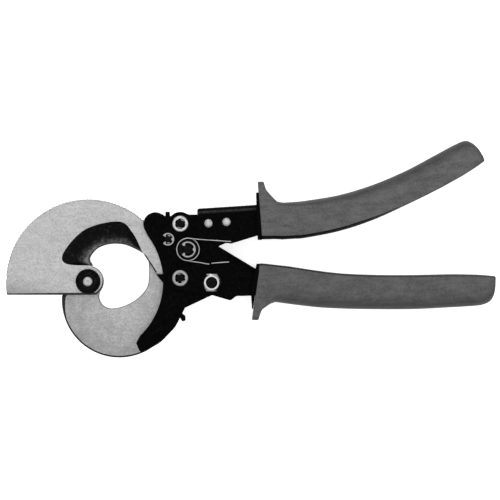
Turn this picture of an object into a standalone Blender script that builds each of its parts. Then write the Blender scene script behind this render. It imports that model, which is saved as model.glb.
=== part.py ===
"""Ratcheting cable cutter: two hooked shear blades, a riveted frame, two pawls and two handles.

The tool lies flat. +X runs from the jaw to the grips, +Y from the lower handle to the upper
one, and +Z up through the thickness. The origin is on the blade pivot's axis, in the plane
the tool rests on. Dimensions are in millimetres, and MM turns them into metres.
"""
import math

import bmesh
import bpy
from mathutils import Vector

MM = 0.001
GAP = 0.3                       # running clearance between neighbouring pieces

# Thickness, built up in layers on both sides of the shear plane
THICKNESS = 24.0
MIDDLE = THICKNESS / 2
BLADE = 4.0
PLATE = 2.5
FLANGE = 1.5

# Axes, seen from the front
NOSE = Vector((0.0, 0.0))
FRAME_PIN = Vector((47.3, 29.5))
DRIVE_PIN = Vector((47.3, 1.8))
HOLD_PIN = Vector((41.0, 21.6))
SPRING_POST = Vector((51.3, 16.4))
HANDLE_PIVOT = Vector((63.4, -0.5))
UPPER_RIVETS = (Vector((61.7, 29.7)), Vector((70.9, 30.4)))
LOWER_RIVET = Vector((79.5, 0.6))

# Blades
RIM = 42.2                      # outer radius of the moving blade, at the tooth tips
TOOTH_PITCH = 2.5               # degrees
TOOTH_DEPTH = 0.55
HUB = 7.9
FIXED_CENTRE = Vector((15.7, -9.6))
FIXED_RADIUS = 29.65
EDGE_LAND = 0.4                 # thickness left at the cutting edge

# Frame
FRAME_INNER = 38.5              # the plates overlap the rim down to this radius
ARM_RIVETS = (Vector((39.2, -21.3)), Vector((35.1, -27.5)))
TANG_RIVETS = (Vector((40.2, 7.8)), Vector((40.5, -6.1)))
SQUEEZE = 16.0                  # travel of the lower handle in degrees

# Fasteners
BORE = 2.8                      # holes for the 5 mm nose bolt and spring post
PIVOT_BORE = 3.3                # holes for the 6 mm handle bolt
NOSE_COLLAR = 6.4
RING = 4.2                      # outer radius of the star rings
SEGMENTS = 18                   # sides of a turned piece

# Handles
GRIP = 22.2                     # thickness of the grips behind their finger guards
GRIP_SECTION = ((-1.0, 0.72), (-0.86, 1.0), (0.3, 1.0), (0.7, 0.89), (0.92, 0.64), (1.0, 0.3))


def layer_above(level, thickness):
    """The front layer that starts a gap above the given height over the middle."""
    low = MIDDLE + level + GAP
    return low, low + thickness


def mirrored(layer):
    """The same layer on the rear side of the middle plane."""
    return THICKNESS - layer[1], THICKNESS - layer[0]


BLADE_FRONT = layer_above(-GAP / 2, BLADE)
PLATE_FRONT = layer_above(BLADE_FRONT[1] - MIDDLE, PLATE)
FLANGE_FRONT = layer_above(PLATE_FRONT[1] - MIDDLE, FLANGE)
BLADE_REAR = mirrored(BLADE_FRONT)
PLATE_REAR = mirrored(PLATE_FRONT)
FLANGE_REAR = mirrored(FLANGE_FRONT)
INSIDE = (PLATE_REAR[1] + GAP, PLATE_FRONT[0] - GAP)
CHANNEL = (FLANGE_REAR[0], FLANGE_FRONT[1])

# Looks: colour, metallic, roughness
LOOKS = {
    "blade": ((0.55, 0.56, 0.57), 1.0, 0.42),
    "fixed_blade": ((0.42, 0.43, 0.44), 1.0, 0.45),
    "black_steel": ((0.012, 0.012, 0.013), 0.6, 0.45),
    "bright_steel": ((0.62, 0.62, 0.62), 1.0, 0.3),
    "spring_steel": ((0.45, 0.45, 0.46), 1.0, 0.35),
    "upper_vinyl": ((0.13, 0.13, 0.132), 0.0, 0.5),
    "lower_vinyl": ((0.095, 0.095, 0.097), 0.0, 0.5),
}


# Scene and object helpers

def new_collection(name):
    collection = bpy.data.collections.new(name)
    bpy.context.scene.collection.children.link(collection)
    return collection


def clear_scene():
    for obj in list(bpy.data.objects):
        bpy.data.objects.remove(obj, do_unlink=True)


def new_material(name, look):
    colour, metallic, roughness = LOOKS[look]
    material = bpy.data.materials.new(name + "_finish")
    material.use_nodes = True
    shader = material.node_tree.nodes["Principled BSDF"]
    shader.inputs["Base Color"].default_value = (*colour, 1.0)
    shader.inputs["Metallic"].default_value = metallic
    shader.inputs["Roughness"].default_value = roughness
    return material


def from_bmesh(name, bm, look, smooth_angle=35):
    """A mesh object made of bm, welded, facing outwards and shaded by its edge angles."""
    bmesh.ops.remove_doubles(bm, verts=bm.verts, dist=0.000001)
    bmesh.ops.recalc_face_normals(bm, faces=bm.faces)
    mesh = bpy.data.meshes.new(name)
    bm.to_mesh(mesh)
    bm.free()
    mesh.shade_smooth()
    mesh.set_sharp_from_angle(angle=math.radians(smooth_angle))
    obj = bpy.data.objects.new(name, mesh)
    parts.objects.link(obj)
    obj.data.materials.append(new_material(name, look))
    return obj


def from_curve(name, curve, look, height=0.0):
    """The mesh of a curve lifted to a height, with its caps welded on."""
    guide = bpy.data.objects.new(name + "_guide", curve)
    guide.location.z = height * MM
    parts.objects.link(guide)
    graph = bpy.context.evaluated_depsgraph_get()
    graph.update()
    mesh = bpy.data.meshes.new_from_object(guide.evaluated_get(graph))
    matrix = guide.matrix_world.copy()
    bm = bmesh.new()
    bm.from_mesh(mesh)
    bmesh.ops.transform(bm, matrix=matrix, verts=bm.verts)
    bpy.data.objects.remove(guide, do_unlink=True)
    bpy.data.meshes.remove(mesh)
    bpy.data.curves.remove(curve)
    return from_bmesh(name, bm, look)


def boolean(obj, cutter, operation="DIFFERENCE"):
    """A Boolean modifier whose cutter is kept out of the parts."""
    for collection in list(cutter.users_collection):
        collection.objects.unlink(cutter)
    cutters.objects.link(cutter)
    cutter.hide_render = True
    cutter.display_type = "WIRE"
    modifier = obj.modifiers.new(cutter.name, "BOOLEAN")
    modifier.operation = operation
    modifier.object = cutter


def axis_empty(name, point, parent=None):
    """An empty on a joint's axis, which carries the pieces that turn about it."""
    empty = bpy.data.objects.new(name, None)
    empty.location = (point.x * MM, point.y * MM, MIDDLE * MM)
    empty.empty_display_size = 0.01
    parts.objects.link(empty)
    bpy.context.view_layer.update()
    if parent:
        carry(parent, [empty])
    return empty


def carry(empty, pieces):
    """Parent the pieces to an empty and leave them where they are."""
    bpy.context.view_layer.update()
    for piece in pieces:
        piece.parent = empty
        piece.matrix_parent_inverse = empty.matrix_world.inverted()


# Outlines, as lists of 2D points

def arc(centre, radius, start, end, step=7.5):
    """Points along an arc between two angles in degrees, either way round."""
    count = max(2, math.ceil(abs(end - start) / step))
    angles = [math.radians(start + (end - start) * i / count) for i in range(count + 1)]
    return [centre + radius * Vector((math.cos(a), math.sin(a))) for a in angles]


def circle(centre, radius, segments=SEGMENTS):
    return arc(centre, radius, 0, 360, 360 / segments)[:-1]


def polar(radius, degrees, centre=NOSE):
    angle = math.radians(degrees)
    return centre + radius * Vector((math.cos(angle), math.sin(angle)))


def rounded(corners, step=15):
    """A closed outline through (x, y, radius) corners; a corner without a radius is sharp."""
    points = []
    for i, (x, y, *radius) in enumerate(corners):
        corner = Vector((x, y))
        before = (Vector(corners[i - 1][:2]) - corner).normalized()
        after = (Vector(corners[(i + 1) % len(corners)][:2]) - corner).normalized()
        if not radius:
            points.append(corner)
            continue
        half = before.angle(after) / 2
        middle = corner + (before + after).normalized() * (radius[0] / math.sin(half))
        first = corner + before * (radius[0] / math.tan(half)) - middle
        turn = math.copysign(math.pi - 2 * half, before.cross(after))
        count = max(1, math.ceil(math.degrees(abs(turn)) / step))
        for k in range(count + 1):
            angle = math.atan2(first.y, first.x) - turn * k / count
            points.append(middle + radius[0] * Vector((math.cos(angle), math.sin(angle))))
    return points


def smooth_line(points, per_span):
    """An open Catmull-Rom curve through the points."""
    knots = [Vector(p) for p in points]
    knots = [2 * knots[0] - knots[1], *knots, 2 * knots[-1] - knots[-2]]
    line = []
    for a, b, c, d in zip(knots, knots[1:], knots[2:], knots[3:]):
        for k in range(per_span):
            t = k / per_span
            line.append(0.5 * (2 * b + (c - a) * t + (2 * a - 5 * b + 4 * c - d) * t ** 2
                               + (3 * b - a - 3 * c + d) * t ** 3))
    return line + [knots[-2]]


def grown(outline, distance):
    """A closed outline moved outwards by a distance."""
    area = sum(a.cross(b) for a, b in zip(outline, outline[1:] + outline[:1]))
    side = math.copysign(distance, area)
    moved = []
    for i, point in enumerate(outline):
        along_in = (point - outline[i - 1]).normalized()
        along_out = (outline[(i + 1) % len(outline)] - point).normalized()
        normal_in = Vector((along_in.y, -along_in.x))
        normal_out = Vector((along_out.y, -along_out.x))
        corner = (normal_in + normal_out).normalized()
        moved.append(point + corner * side / max(0.5, corner.dot(normal_in)))
    return moved


def teeth(radius, start, count, inwards=0.0):
    """Ratchet teeth along an arc: a slow rise to each tip and a steep drop after it."""
    points = []
    for tooth in range(count):
        angle = start + tooth * TOOTH_PITCH
        points.append(polar(radius - TOOTH_DEPTH - inwards, angle))
        points.append(polar(radius - inwards, angle + TOOTH_PITCH * 0.75))
    return points


# Pieces

def flat(name, layer, outlines, look):
    """A flat piece in a layer: the first outline is its rim and the others are holes."""
    curve = bpy.data.curves.new(name, "CURVE")
    curve.dimensions = "2D"
    curve.fill_mode = "BOTH"
    curve.extrude = (layer[1] - layer[0]) / 2 * MM
    for outline in outlines:
        spline = curve.splines.new("POLY")
        spline.points.add(len(outline) - 1)
        spline.use_cyclic_u = True
        for point, (x, y) in zip(spline.points, outline):
            point.co = (x * MM, y * MM, 0.0, 1.0)
    return from_curve(name, curve, look, sum(layer) / 2)


def turned(name, centre, profile, look, ring=False):
    """A turned piece; its profile of (radius, height) points runs down the outer side."""
    bm = bmesh.new()
    verts = [bm.verts.new((radius * MM, 0.0, height * MM)) for radius, height in profile]
    for a, b in zip(verts, verts[1:]):
        bm.edges.new((a, b))
    if ring:
        bm.edges.new((verts[-1], verts[0]))
    mesh = bpy.data.meshes.new(name)
    bm.to_mesh(mesh)
    bm.free()
    obj = bpy.data.objects.new(name, mesh)
    obj.location = (centre.x * MM, centre.y * MM, 0.0)
    parts.objects.link(obj)
    screw = obj.modifiers.new("turn", "SCREW")
    screw.steps = SEGMENTS
    screw.render_steps = SEGMENTS
    screw.use_merge_vertices = True
    screw.merge_threshold = 0.00001
    obj.data.materials.append(new_material(name, look))
    return obj


def sleeve(name, centre, layer, inner, outer, look):
    low, high = layer
    profile = [(inner, high), (outer, high), (outer, low), (inner, low)]
    return turned(name, centre, profile, look, ring=True)


def pin(name, centre, low, high, radius, look, grooves=(), head=None):
    """A round pin from low to high with grooves for clips and an optional rear head."""
    chamfer = 0.3
    profile = [(0, high), (radius - chamfer, high), (radius, high - chamfer)]
    for groove_low, groove_high in sorted(grooves, reverse=True):
        depth = radius - 0.5
        profile += [(radius, groove_high), (depth, groove_high)]
        profile += [(depth, groove_low), (radius, groove_low)]
    if head:
        head_radius, head_top = head
        profile += [(radius, head_top), (head_radius, head_top), (head_radius, low)]
    else:
        profile += [(radius, low + chamfer), (radius - chamfer, low)]
    return turned(name, centre, profile + [(0, low)], look)


def rivet(name, centre, low, high, radius, head, look):
    """A rivet with a domed head at both ends; low and high are the domes' crowns."""
    rise = 1.1
    dome = [(head * math.sin(math.radians(a)), rise * (1 - math.cos(math.radians(a))))
            for a in (0, 30, 60, 90)]
    top = [(r, high - drop) for r, drop in dome]
    bottom = [(r, low + drop) for r, drop in reversed(dome)]
    profile = top + [(radius, high - rise), (radius, low + rise)] + bottom
    return turned(name, centre, profile, look)


def tube(name, path, radius, look, sides_resolution=2):
    """A bent wire along 3D points, with closed ends."""
    curve = bpy.data.curves.new(name, "CURVE")
    curve.dimensions = "3D"
    curve.bevel_depth = radius * MM
    curve.bevel_resolution = sides_resolution
    curve.use_fill_caps = True
    spline = curve.splines.new("POLY")
    spline.points.add(len(path) - 1)
    for point, place in zip(spline.points, path):
        point.co = (*(place * MM), 1.0)
    return from_curve(name, curve, look)


def star_ring(name, centre, low, shaft):
    """A push-on retaining ring: a washer whose hole has six teeth against the shaft."""
    hole = []
    for tooth in range(6):
        for offset, radius in ((-14, shaft + GAP), (14, shaft + GAP), (22, 2.95), (38, 2.95)):
            hole.append(polar(radius, tooth * 60 + offset, centre))
    outer = circle(centre, RING)
    return flat(name, (low, low + 0.8), [outer, hole], "bright_steel")


def clip(name, centre, low, shaft, outer, prong=20):
    """An E-shaped retaining clip that opens towards -X, with three inner prongs."""
    opening = 38
    rim = arc(centre, outer, 180 + opening, 540 - opening)
    relief = outer - (outer - shaft) * 0.45
    grip = shaft - 0.2
    inner = []
    for start, end, radius in ((180 - opening, 180 - opening - prong, grip),
                               (180 - opening - prong - 6, prong + 6, relief),
                               (prong, -prong, grip),
                               (-prong - 6, opening + prong + 6 - 180, relief),
                               (opening + prong - 180, opening - 180, grip)):
        inner += arc(centre, radius, start, end, 15)
    return flat(name, (low, low + 0.7), [rim + inner], "bright_steel")


def hexagon(centre, across_flats):
    corner = across_flats / math.sqrt(3)
    return [polar(corner, 60 * k, centre) for k in range(6)]


def between(inner, outer, reach):
    """Points that start on one line and go at most reach towards the matching points."""
    points = []
    for a, b in zip(inner, outer):
        width = (b - a).length
        share = min(1.0, reach / width) if width > 0 else 1.0
        points.append(a + (b - a) * share)
    return points


def bevelled_blade(name, layer, body, edge, shoulder, look, slope=1.2, land_reach=1.6):
    """A blade ground from a shoulder line on its face down to its cutting edge.

    The outline is body followed by edge. The ground face runs from shoulder, on the face,
    through a narrow honed land, to the edge, and is less deep where it is narrow.
    """
    face, back = layer[1], layer[0]
    inward = math.copysign(1.0, face - back)
    land = between(edge, shoulder, land_reach)
    floor = abs(face - back) - EDGE_LAND

    def sunk(points, share):
        lowered = []
        for point, rim, cut in zip(points, shoulder, edge):
            depth = min(floor, slope * (rim - cut).length) * share
            lowered.append((*point, face - inward * depth))
        return lowered

    rows = [[(*p, face) for p in body] + [(*p, face) for p in shoulder],
            [(*p, face) for p in body] + sunk(land, 0.8),
            [(*p, face) for p in body] + sunk(edge, 1.0),
            [(*p, back) for p in body] + [(*p, back) for p in edge]]
    bm = bmesh.new()
    loops = [[bm.verts.new((x * MM, y * MM, z * MM)) for x, y, z in row] for row in rows]
    count = len(rows[0])
    first_ground = len(body) - 1
    for level, (upper, lower) in enumerate(zip(loops, loops[1:])):
        start = 0 if level == 2 else first_ground
        for i in range(start, count):
            j = (i + 1) % count
            if level < 2 and j == 0:
                continue
            bm.faces.new((upper[i], upper[j], lower[j], lower[i]))
    bm.faces.new(loops[0])
    bm.faces.new(reversed(loops[3]))
    bmesh.ops.remove_doubles(bm, verts=bm.verts, dist=0.00001)
    bmesh.ops.triangulate(bm, faces=bm.faces)
    return from_bmesh(name, bm, look, 25)


def section(inner, outer, half_thickness):
    """One cross-section of a grip, from its sharper inner edge to its rounder outer edge."""
    middle = (inner + outer) / 2
    half = (outer - inner) / 2
    shape = GRIP_SECTION + tuple((across, -through) for across, through in
                                 reversed(GRIP_SECTION))
    return [(*(middle + half * across), MIDDLE + half_thickness * through)
            for across, through in shape]


def loft(name, sections, look):
    """A solid through a row of sections with equal numbers of points."""
    bm = bmesh.new()
    rings = [[bm.verts.new(Vector(p) * MM) for p in row] for row in sections]
    for ring, following in zip(rings, rings[1:]):
        for i in range(len(ring)):
            j = (i + 1) % len(ring)
            bm.faces.new((ring[i], ring[j], following[j], following[i]))
    bm.faces.new(rings[0])
    bm.faces.new(reversed(rings[-1]))
    return from_bmesh(name, bm, look)


def cut_pocket(piece, channel_outline, look):
    """Cut the space for a handle's channel out of a piece that surrounds it."""
    layer = (CHANNEL[0] - GAP, CHANNEL[1] + GAP)
    pocket = flat(piece.name + "_pocket", layer, [grown(channel_outline, GAP)], look)
    boolean(piece, pocket)


def grip(name, inner, outer, tip, guard, channel_outline, look):
    """A moulded grip between two edge lines, with a finger guard and a pocket for its bar.

    tip holds the (inner, outer, half thickness) sections that round off the far end.
    """
    lines = zip(smooth_line(inner, 2), smooth_line(outer, 2))
    rows = [section(a, b, GRIP / 2) for a, b in lines]
    rows += [section(Vector(a), Vector(b), half) for a, b, half in tip]
    body = loft(name, rows, look)
    fin = flat(name + "_guard", (0.0, THICKNESS), [guard], look)
    boolean(body, fin, "UNION")
    cut_pocket(body, channel_outline, look)
    return body


def collar(name, outline, channel_outline):
    """The black plate in front of a finger guard, with a window for the channel."""
    plate = flat(name, (0.6, THICKNESS - 0.6), [outline], "black_steel")
    cut_pocket(plate, channel_outline, "black_steel")
    return plate


def channel(name, outline, holes, inside):
    """A folded steel channel: two flanges joined by a web above the inside outline."""
    bar = flat(name, CHANNEL, [outline, *holes], "black_steel")
    hollow_layer = (FLANGE_REAR[1], FLANGE_FRONT[0])
    boolean(bar, flat(name + "_hollow", hollow_layer, [inside], "black_steel"))
    return bar


# Assembly

def make_blades():
    """The toothed moving blade in front of the fixed one, and the bolt through both."""
    rim_start = 4.0
    rim = teeth(RIM, rim_start, 69) + [polar(RIM - TOOTH_DEPTH, rim_start + 69 * TOOTH_PITCH)]
    flat_edge = -6.9
    left = -math.sqrt(RIM ** 2 - flat_edge ** 2)
    smooth_rim = arc(NOSE, RIM, 181, math.degrees(math.atan2(flat_edge, left)) + 358)
    hub = arc(NOSE, HUB, -59, 72)
    body = [Vector((34.9, 4.1)), *rim, *smooth_rim, Vector((left, flat_edge)), *hub]
    edge = smooth_line([(2.0, 8.2), (0.8, 11.9), (4.6, 16.8), (11.0, 19.1), (18.0, 18.9),
                        (23.6, 16.8), (28.2, 14.3)], 8)
    shoulder = smooth_line([(2.0, 8.2), (-11.4, 8.3), (-12.2, 15.6), (-1.2, 26.8),
                            (15.6, 30.9), (22.6, 25.2), (28.2, 14.3)], 8)
    blade = bevelled_blade("moving_blade", BLADE_FRONT, body, edge, shoulder, "blade")
    bore = flat("moving_blade_bore", (BLADE_FRONT[0] - 1, BLADE_FRONT[1] + 1),
                [circle(NOSE, BORE)], "blade")
    boolean(blade, bore)
    carry(axis_empty("blade_axis", NOSE), [blade])

    outer = arc(FIXED_CENTRE, FIXED_RADIUS, 358, 176, 4)
    tang = rounded([(30.6, 13.0), (42.6, 13.0, 2.0), (43.0, -2.0, 2.0), (*outer[0],)])
    rear_hub = arc(NOSE, HUB - GAP, 130, -47)
    throat = smooth_line([(5.5, -5.4), (5.3, -8.8), (7.5, -12.5), (11.8, -14.0), (18.4, -12.6),
                          (25.2, -8.7), (30.0, -2.9), (31.0, 4.4), (30.6, 13.0)], 5)
    opening = Vector((17.8, 2.0))
    ground_width = 5.0
    shoulder = []
    for k, point in enumerate(throat):
        share = k / (len(throat) - 1)
        reach = ground_width * math.sin(math.pi * share)
        shoulder.append(point + (point - opening).normalized() * reach)
    rear_face_last = (BLADE_REAR[1], BLADE_REAR[0])
    fixed = bevelled_blade("fixed_blade", rear_face_last, tang[:-1] + outer + rear_hub,
                           throat, shoulder, "fixed_blade", 0.7)
    holes = [(NOSE, BORE, SEGMENTS)] + [(p, 1.5, 12) for p in ARM_RIVETS + TANG_RIVETS]
    for k, (place, radius, sides) in enumerate(holes):
        hole = flat(f"fixed_blade_hole_{k}", (BLADE_REAR[0] - 1, BLADE_REAR[1] + 1),
                    [circle(place, radius, sides)], "fixed_blade")
        boolean(fixed, hole)


def make_nose():
    """The bolt that both blades turn on, its head to the rear."""
    head_high = 4.0
    flat_head = flat("nose_pivot_bolt", (0.0, head_high), [hexagon(NOSE, 10.0)], "black_steel")
    shank = turned("nose_pivot_shank", NOSE,
                   [(0, 20.1), (2.1, 20.1), (2.5, 19.7), (2.5, 2.0), (0, 2.0)], "bright_steel")
    boolean(flat_head, shank, "UNION")
    washer = (head_high + GAP, BLADE_REAR[0] - GAP)
    sleeve("nose_rear_washer", NOSE, washer, BORE, NOSE_COLLAR, "black_steel")
    low = BLADE_FRONT[1] + GAP
    nut = [(BORE, low + 2.6), (4.0, low + 2.6), (5.6, low + 2.3), (NOSE_COLLAR, low + 1.4),
           (NOSE_COLLAR, low), (BORE, low)]
    turned("nose_pivot_nut", NOSE, nut, "black_steel", ring=True)


def plate_outline():
    """The frame plate: a plate behind the rim with an arm that holds the fixed blade."""
    knob = Vector((34.5, 29.3))
    arm_outside = rounded([(27.0, -28.0), (24.6, -31.4, 1.5), (27.2, -37.0, 2.0),
                           (37.5, -30.9, 12.0), (44.3, -23.8, 12.0), (49.4, -13.6, 1.0),
                           (57.0, -9.8)])[1:-1]
    lobe = arc(HANDLE_PIVOT, 5.9, -62, 25, 12)
    handle_end = [Vector(p) for p in ((65.7, 14.0), (65.7, 17.0), (67.4, 18.4), (76.0, 22.0),
                                      (76.0, 34.2), (52.2, 34.2))]
    bump = arc(FRAME_PIN, 6.1, 55, 128, 12)
    saddle = [Vector((42.6, 33.5)), Vector((39.4, 33.5))]
    knob_edge = arc(knob, 6.1, 52, 205, 12)
    upper_edge = arc(NOSE, FRAME_INNER, 37, 5.4, 4)
    lower_edge = arc(NOSE, FRAME_INNER, -1, -46, 4)
    nose = [Vector((35.0, 3.6))]
    return (arm_outside + lobe + handle_end + bump + saddle + knob_edge + upper_edge + nose
            + lower_edge)


def pin_slot(radius):
    """The slot about the handle pivot in which the drive pawl's pin travels."""
    arm = DRIVE_PIN - HANDLE_PIVOT
    start = math.degrees(math.atan2(arm.y, arm.x))
    first = polar(arm.length, start, HANDLE_PIVOT)
    last = polar(arm.length, start + SQUEEZE, HANDLE_PIVOT)
    inner = arc(HANDLE_PIVOT, arm.length - radius, start + SQUEEZE, start, 4)
    outer = arc(HANDLE_PIVOT, arm.length + radius, start, start + SQUEEZE, 4)
    end_cap = arc(last, radius, start + SQUEEZE, start + SQUEEZE + 180, 20)[1:-1]
    start_cap = arc(first, radius, start - 180, start, 20)[1:-1]
    return outer + end_cap + inner + start_cap


def make_frame():
    """Two plates held apart by spacers, with the pins and rings that join them."""
    outline = plate_outline()
    shared = [circle(FRAME_PIN, 2.3), pin_slot(2.6), circle(HOLD_PIN, 2.05),
              circle(SPRING_POST, BORE), circle(HANDLE_PIVOT, PIVOT_BORE)]
    shared += [circle(p, 1.9, 12) for p in UPPER_RIVETS]
    shared += [circle(p, 1.5, 12) for p in ARM_RIVETS]
    flat("front_frame_plate", PLATE_FRONT, [outline, *shared], "black_steel")
    rear_holes = shared + [circle(p, 1.5, 12) for p in TANG_RIVETS]
    flat("rear_frame_plate", PLATE_REAR, [outline, *rear_holes], "black_steel")

    spacer = arc(NOSE, RIM + 0.5, -24, -44, 4) + arc(NOSE, 46.2, -44, -24, 4)
    spacer_holes = [circle(p, 1.5, 12) for p in ARM_RIVETS]
    flat("arm_spacer", BLADE_FRONT, [spacer, *spacer_holes], "black_steel")
    for k, place in enumerate(ARM_RIVETS, 1):
        pin(f"arm_rivet_{k}", place, PLATE_REAR[0], PLATE_FRONT[1], 1.2, "black_steel")
    for k, place in enumerate(TANG_RIVETS, 1):
        pin(f"tang_rivet_{k}", place, PLATE_REAR[0], BLADE_REAR[1], 1.2, "black_steel")

    ring_front = PLATE_FRONT[1] + GAP
    ring_rear = PLATE_REAR[0] - GAP - 0.8
    pin("frame_pin", FRAME_PIN, ring_rear - 0.9, ring_front + 1.7, 2.0, "black_steel")
    sleeve("frame_pin_sleeve", FRAME_PIN, INSIDE, 2.3, 3.8, "black_steel")
    star_ring("frame_pin_ring_front", FRAME_PIN, ring_front, 2.0)
    star_ring("frame_pin_ring_rear", FRAME_PIN, ring_rear, 2.0)


def groove_for(low, thickness=0.7):
    """The groove in a pin for a clip that starts at the given height."""
    return low - 0.25, low + thickness + 0.25


def make_spring_post():
    """The post, its bush, its clip and the spring that opens the handles."""
    clip_low = 22.9
    pin("spring_post", SPRING_POST, 3.5, 24.0, 2.5, "black_steel",
        [groove_for(clip_low)], head=(4.0, 4.7))
    bush = (PLATE_FRONT[1] + GAP, 22.4)
    sleeve("spring_bush", SPRING_POST, bush, BORE, 4.9, "black_steel")
    clip("spring_post_clip", SPRING_POST, clip_low, 2.5, 4.0)

    wire = 0.35
    radius = 5.7
    top_turn = 22.2
    over_flange = FLANGE_FRONT[1] + GAP + wire
    start, turns = 87.0, 2.42
    steps = 60
    coil = []
    for k in range(steps + 1):
        place = polar(radius, start + 360 * turns * k / steps, SPRING_POST)
        coil.append(Vector((*place, top_turn - 1.01 * turns * k / steps)))
    upper_leg = [Vector((73.0, 20.4, over_flange)), Vector((60.0, 21.3, over_flange + 0.3))]
    lower_leg = [Vector((54.4, 10.1, over_flange)), Vector((61.5, 9.0, over_flange)),
                 Vector((72.2, 10.0, over_flange))]
    tube("handle_spring", upper_leg + coil + lower_leg, wire, "spring_steel")


def make_upper_handle():
    """The fixed handle: a channel riveted over the frame's tail, and its grip."""
    outline = rounded([(56.0, 37.3, 1.0), (56.0, 21.3, 1.0), (73.2, 19.4, 1.0), (87.0, 23.6),
                       (94.0, 27.0), (122.0, 28.5, 2.0), (122.0, 37.5, 2.0), (92.0, 37.0),
                       (86.0, 39.2)])
    inside = [Vector(p) for p in ((50.0, 35.4), (86.0, 37.6), (92.0, 35.4), (130.0, 35.9),
                                  (130.0, 10.0), (50.0, 10.0))]
    holes = [circle(p, 1.9, 12) for p in UPPER_RIVETS]
    channel("upper_handle_channel", outline, holes, inside)
    core = rounded([(57.5, 25.0, 1.0), (75.5, 24.0, 1.0), (75.5, 33.6, 1.0), (57.5, 33.6, 1.0)])
    flat("upper_handle_core", INSIDE, [core, *holes], "black_steel")
    crown = FLANGE_FRONT[1] + GAP + 1.1
    for k, place in enumerate(UPPER_RIVETS, 1):
        rivet(f"handle_rivet_{k}", place, THICKNESS - crown, crown, 1.6, 2.3, "bright_steel")

    guard = rounded([(88.0, 36.0), (91.0, 34.0), (98.5, 39.0), (97.3, 40.6, 4.0),
                     (91.0, 47.2, 1.0), (89.9, 51.2, 0.6), (86.9, 51.2, 0.6), (87.3, 45.6)])
    inner = [(89.1, 21.6), (96.0, 21.7), (111.7, 22.8), (128.7, 26.2), (145.7, 31.8),
             (162.7, 39.4), (178.2, 46.9), (190.8, 53.8)]
    outer = [(87.7, 40.3), (96.0, 40.3), (111.7, 41.3), (128.7, 44.1), (145.7, 49.2),
             (162.7, 56.4), (176.7, 63.8), (186.0, 69.0)]
    tip = [((196.2, 57.0), (192.8, 72.2), 11.1), ((199.4, 59.1), (196.6, 71.3), 10.9),
           ((201.6, 60.7), (199.3, 68.8), 10.2), ((202.7, 61.5), (200.9, 65.9), 9.0)]
    grip("upper_grip", inner, outer, tip, guard, outline, "upper_vinyl")
    plate = rounded([(86.0, 45.4, 0.4), (86.9, 21.3, 0.4), (89.0, 21.3), (87.2, 45.4)])
    collar("upper_grip_collar", plate, outline)


def leg_hook(name):
    """The hook on the lower handle's flange that holds down the spring's lower leg."""
    left, right, foot, lip_end = 62.2, 63.2, 7.7, 10.6
    rise, lip = 2.0, 0.6
    top = FLANGE_FRONT[1] + rise
    post = flat(name, (FLANGE_FRONT[1] - 0.3, top),
                [rounded([(left, foot), (right, foot), (right, 8.4), (left, 8.4)])],
                "black_steel")
    bent = flat(name + "_lip", (top - lip, top),
                [rounded([(left, foot + 0.1), (right, foot + 0.1), (right, lip_end),
                          (left, lip_end)])], "black_steel")
    boolean(post, bent, "UNION")
    return post


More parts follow.
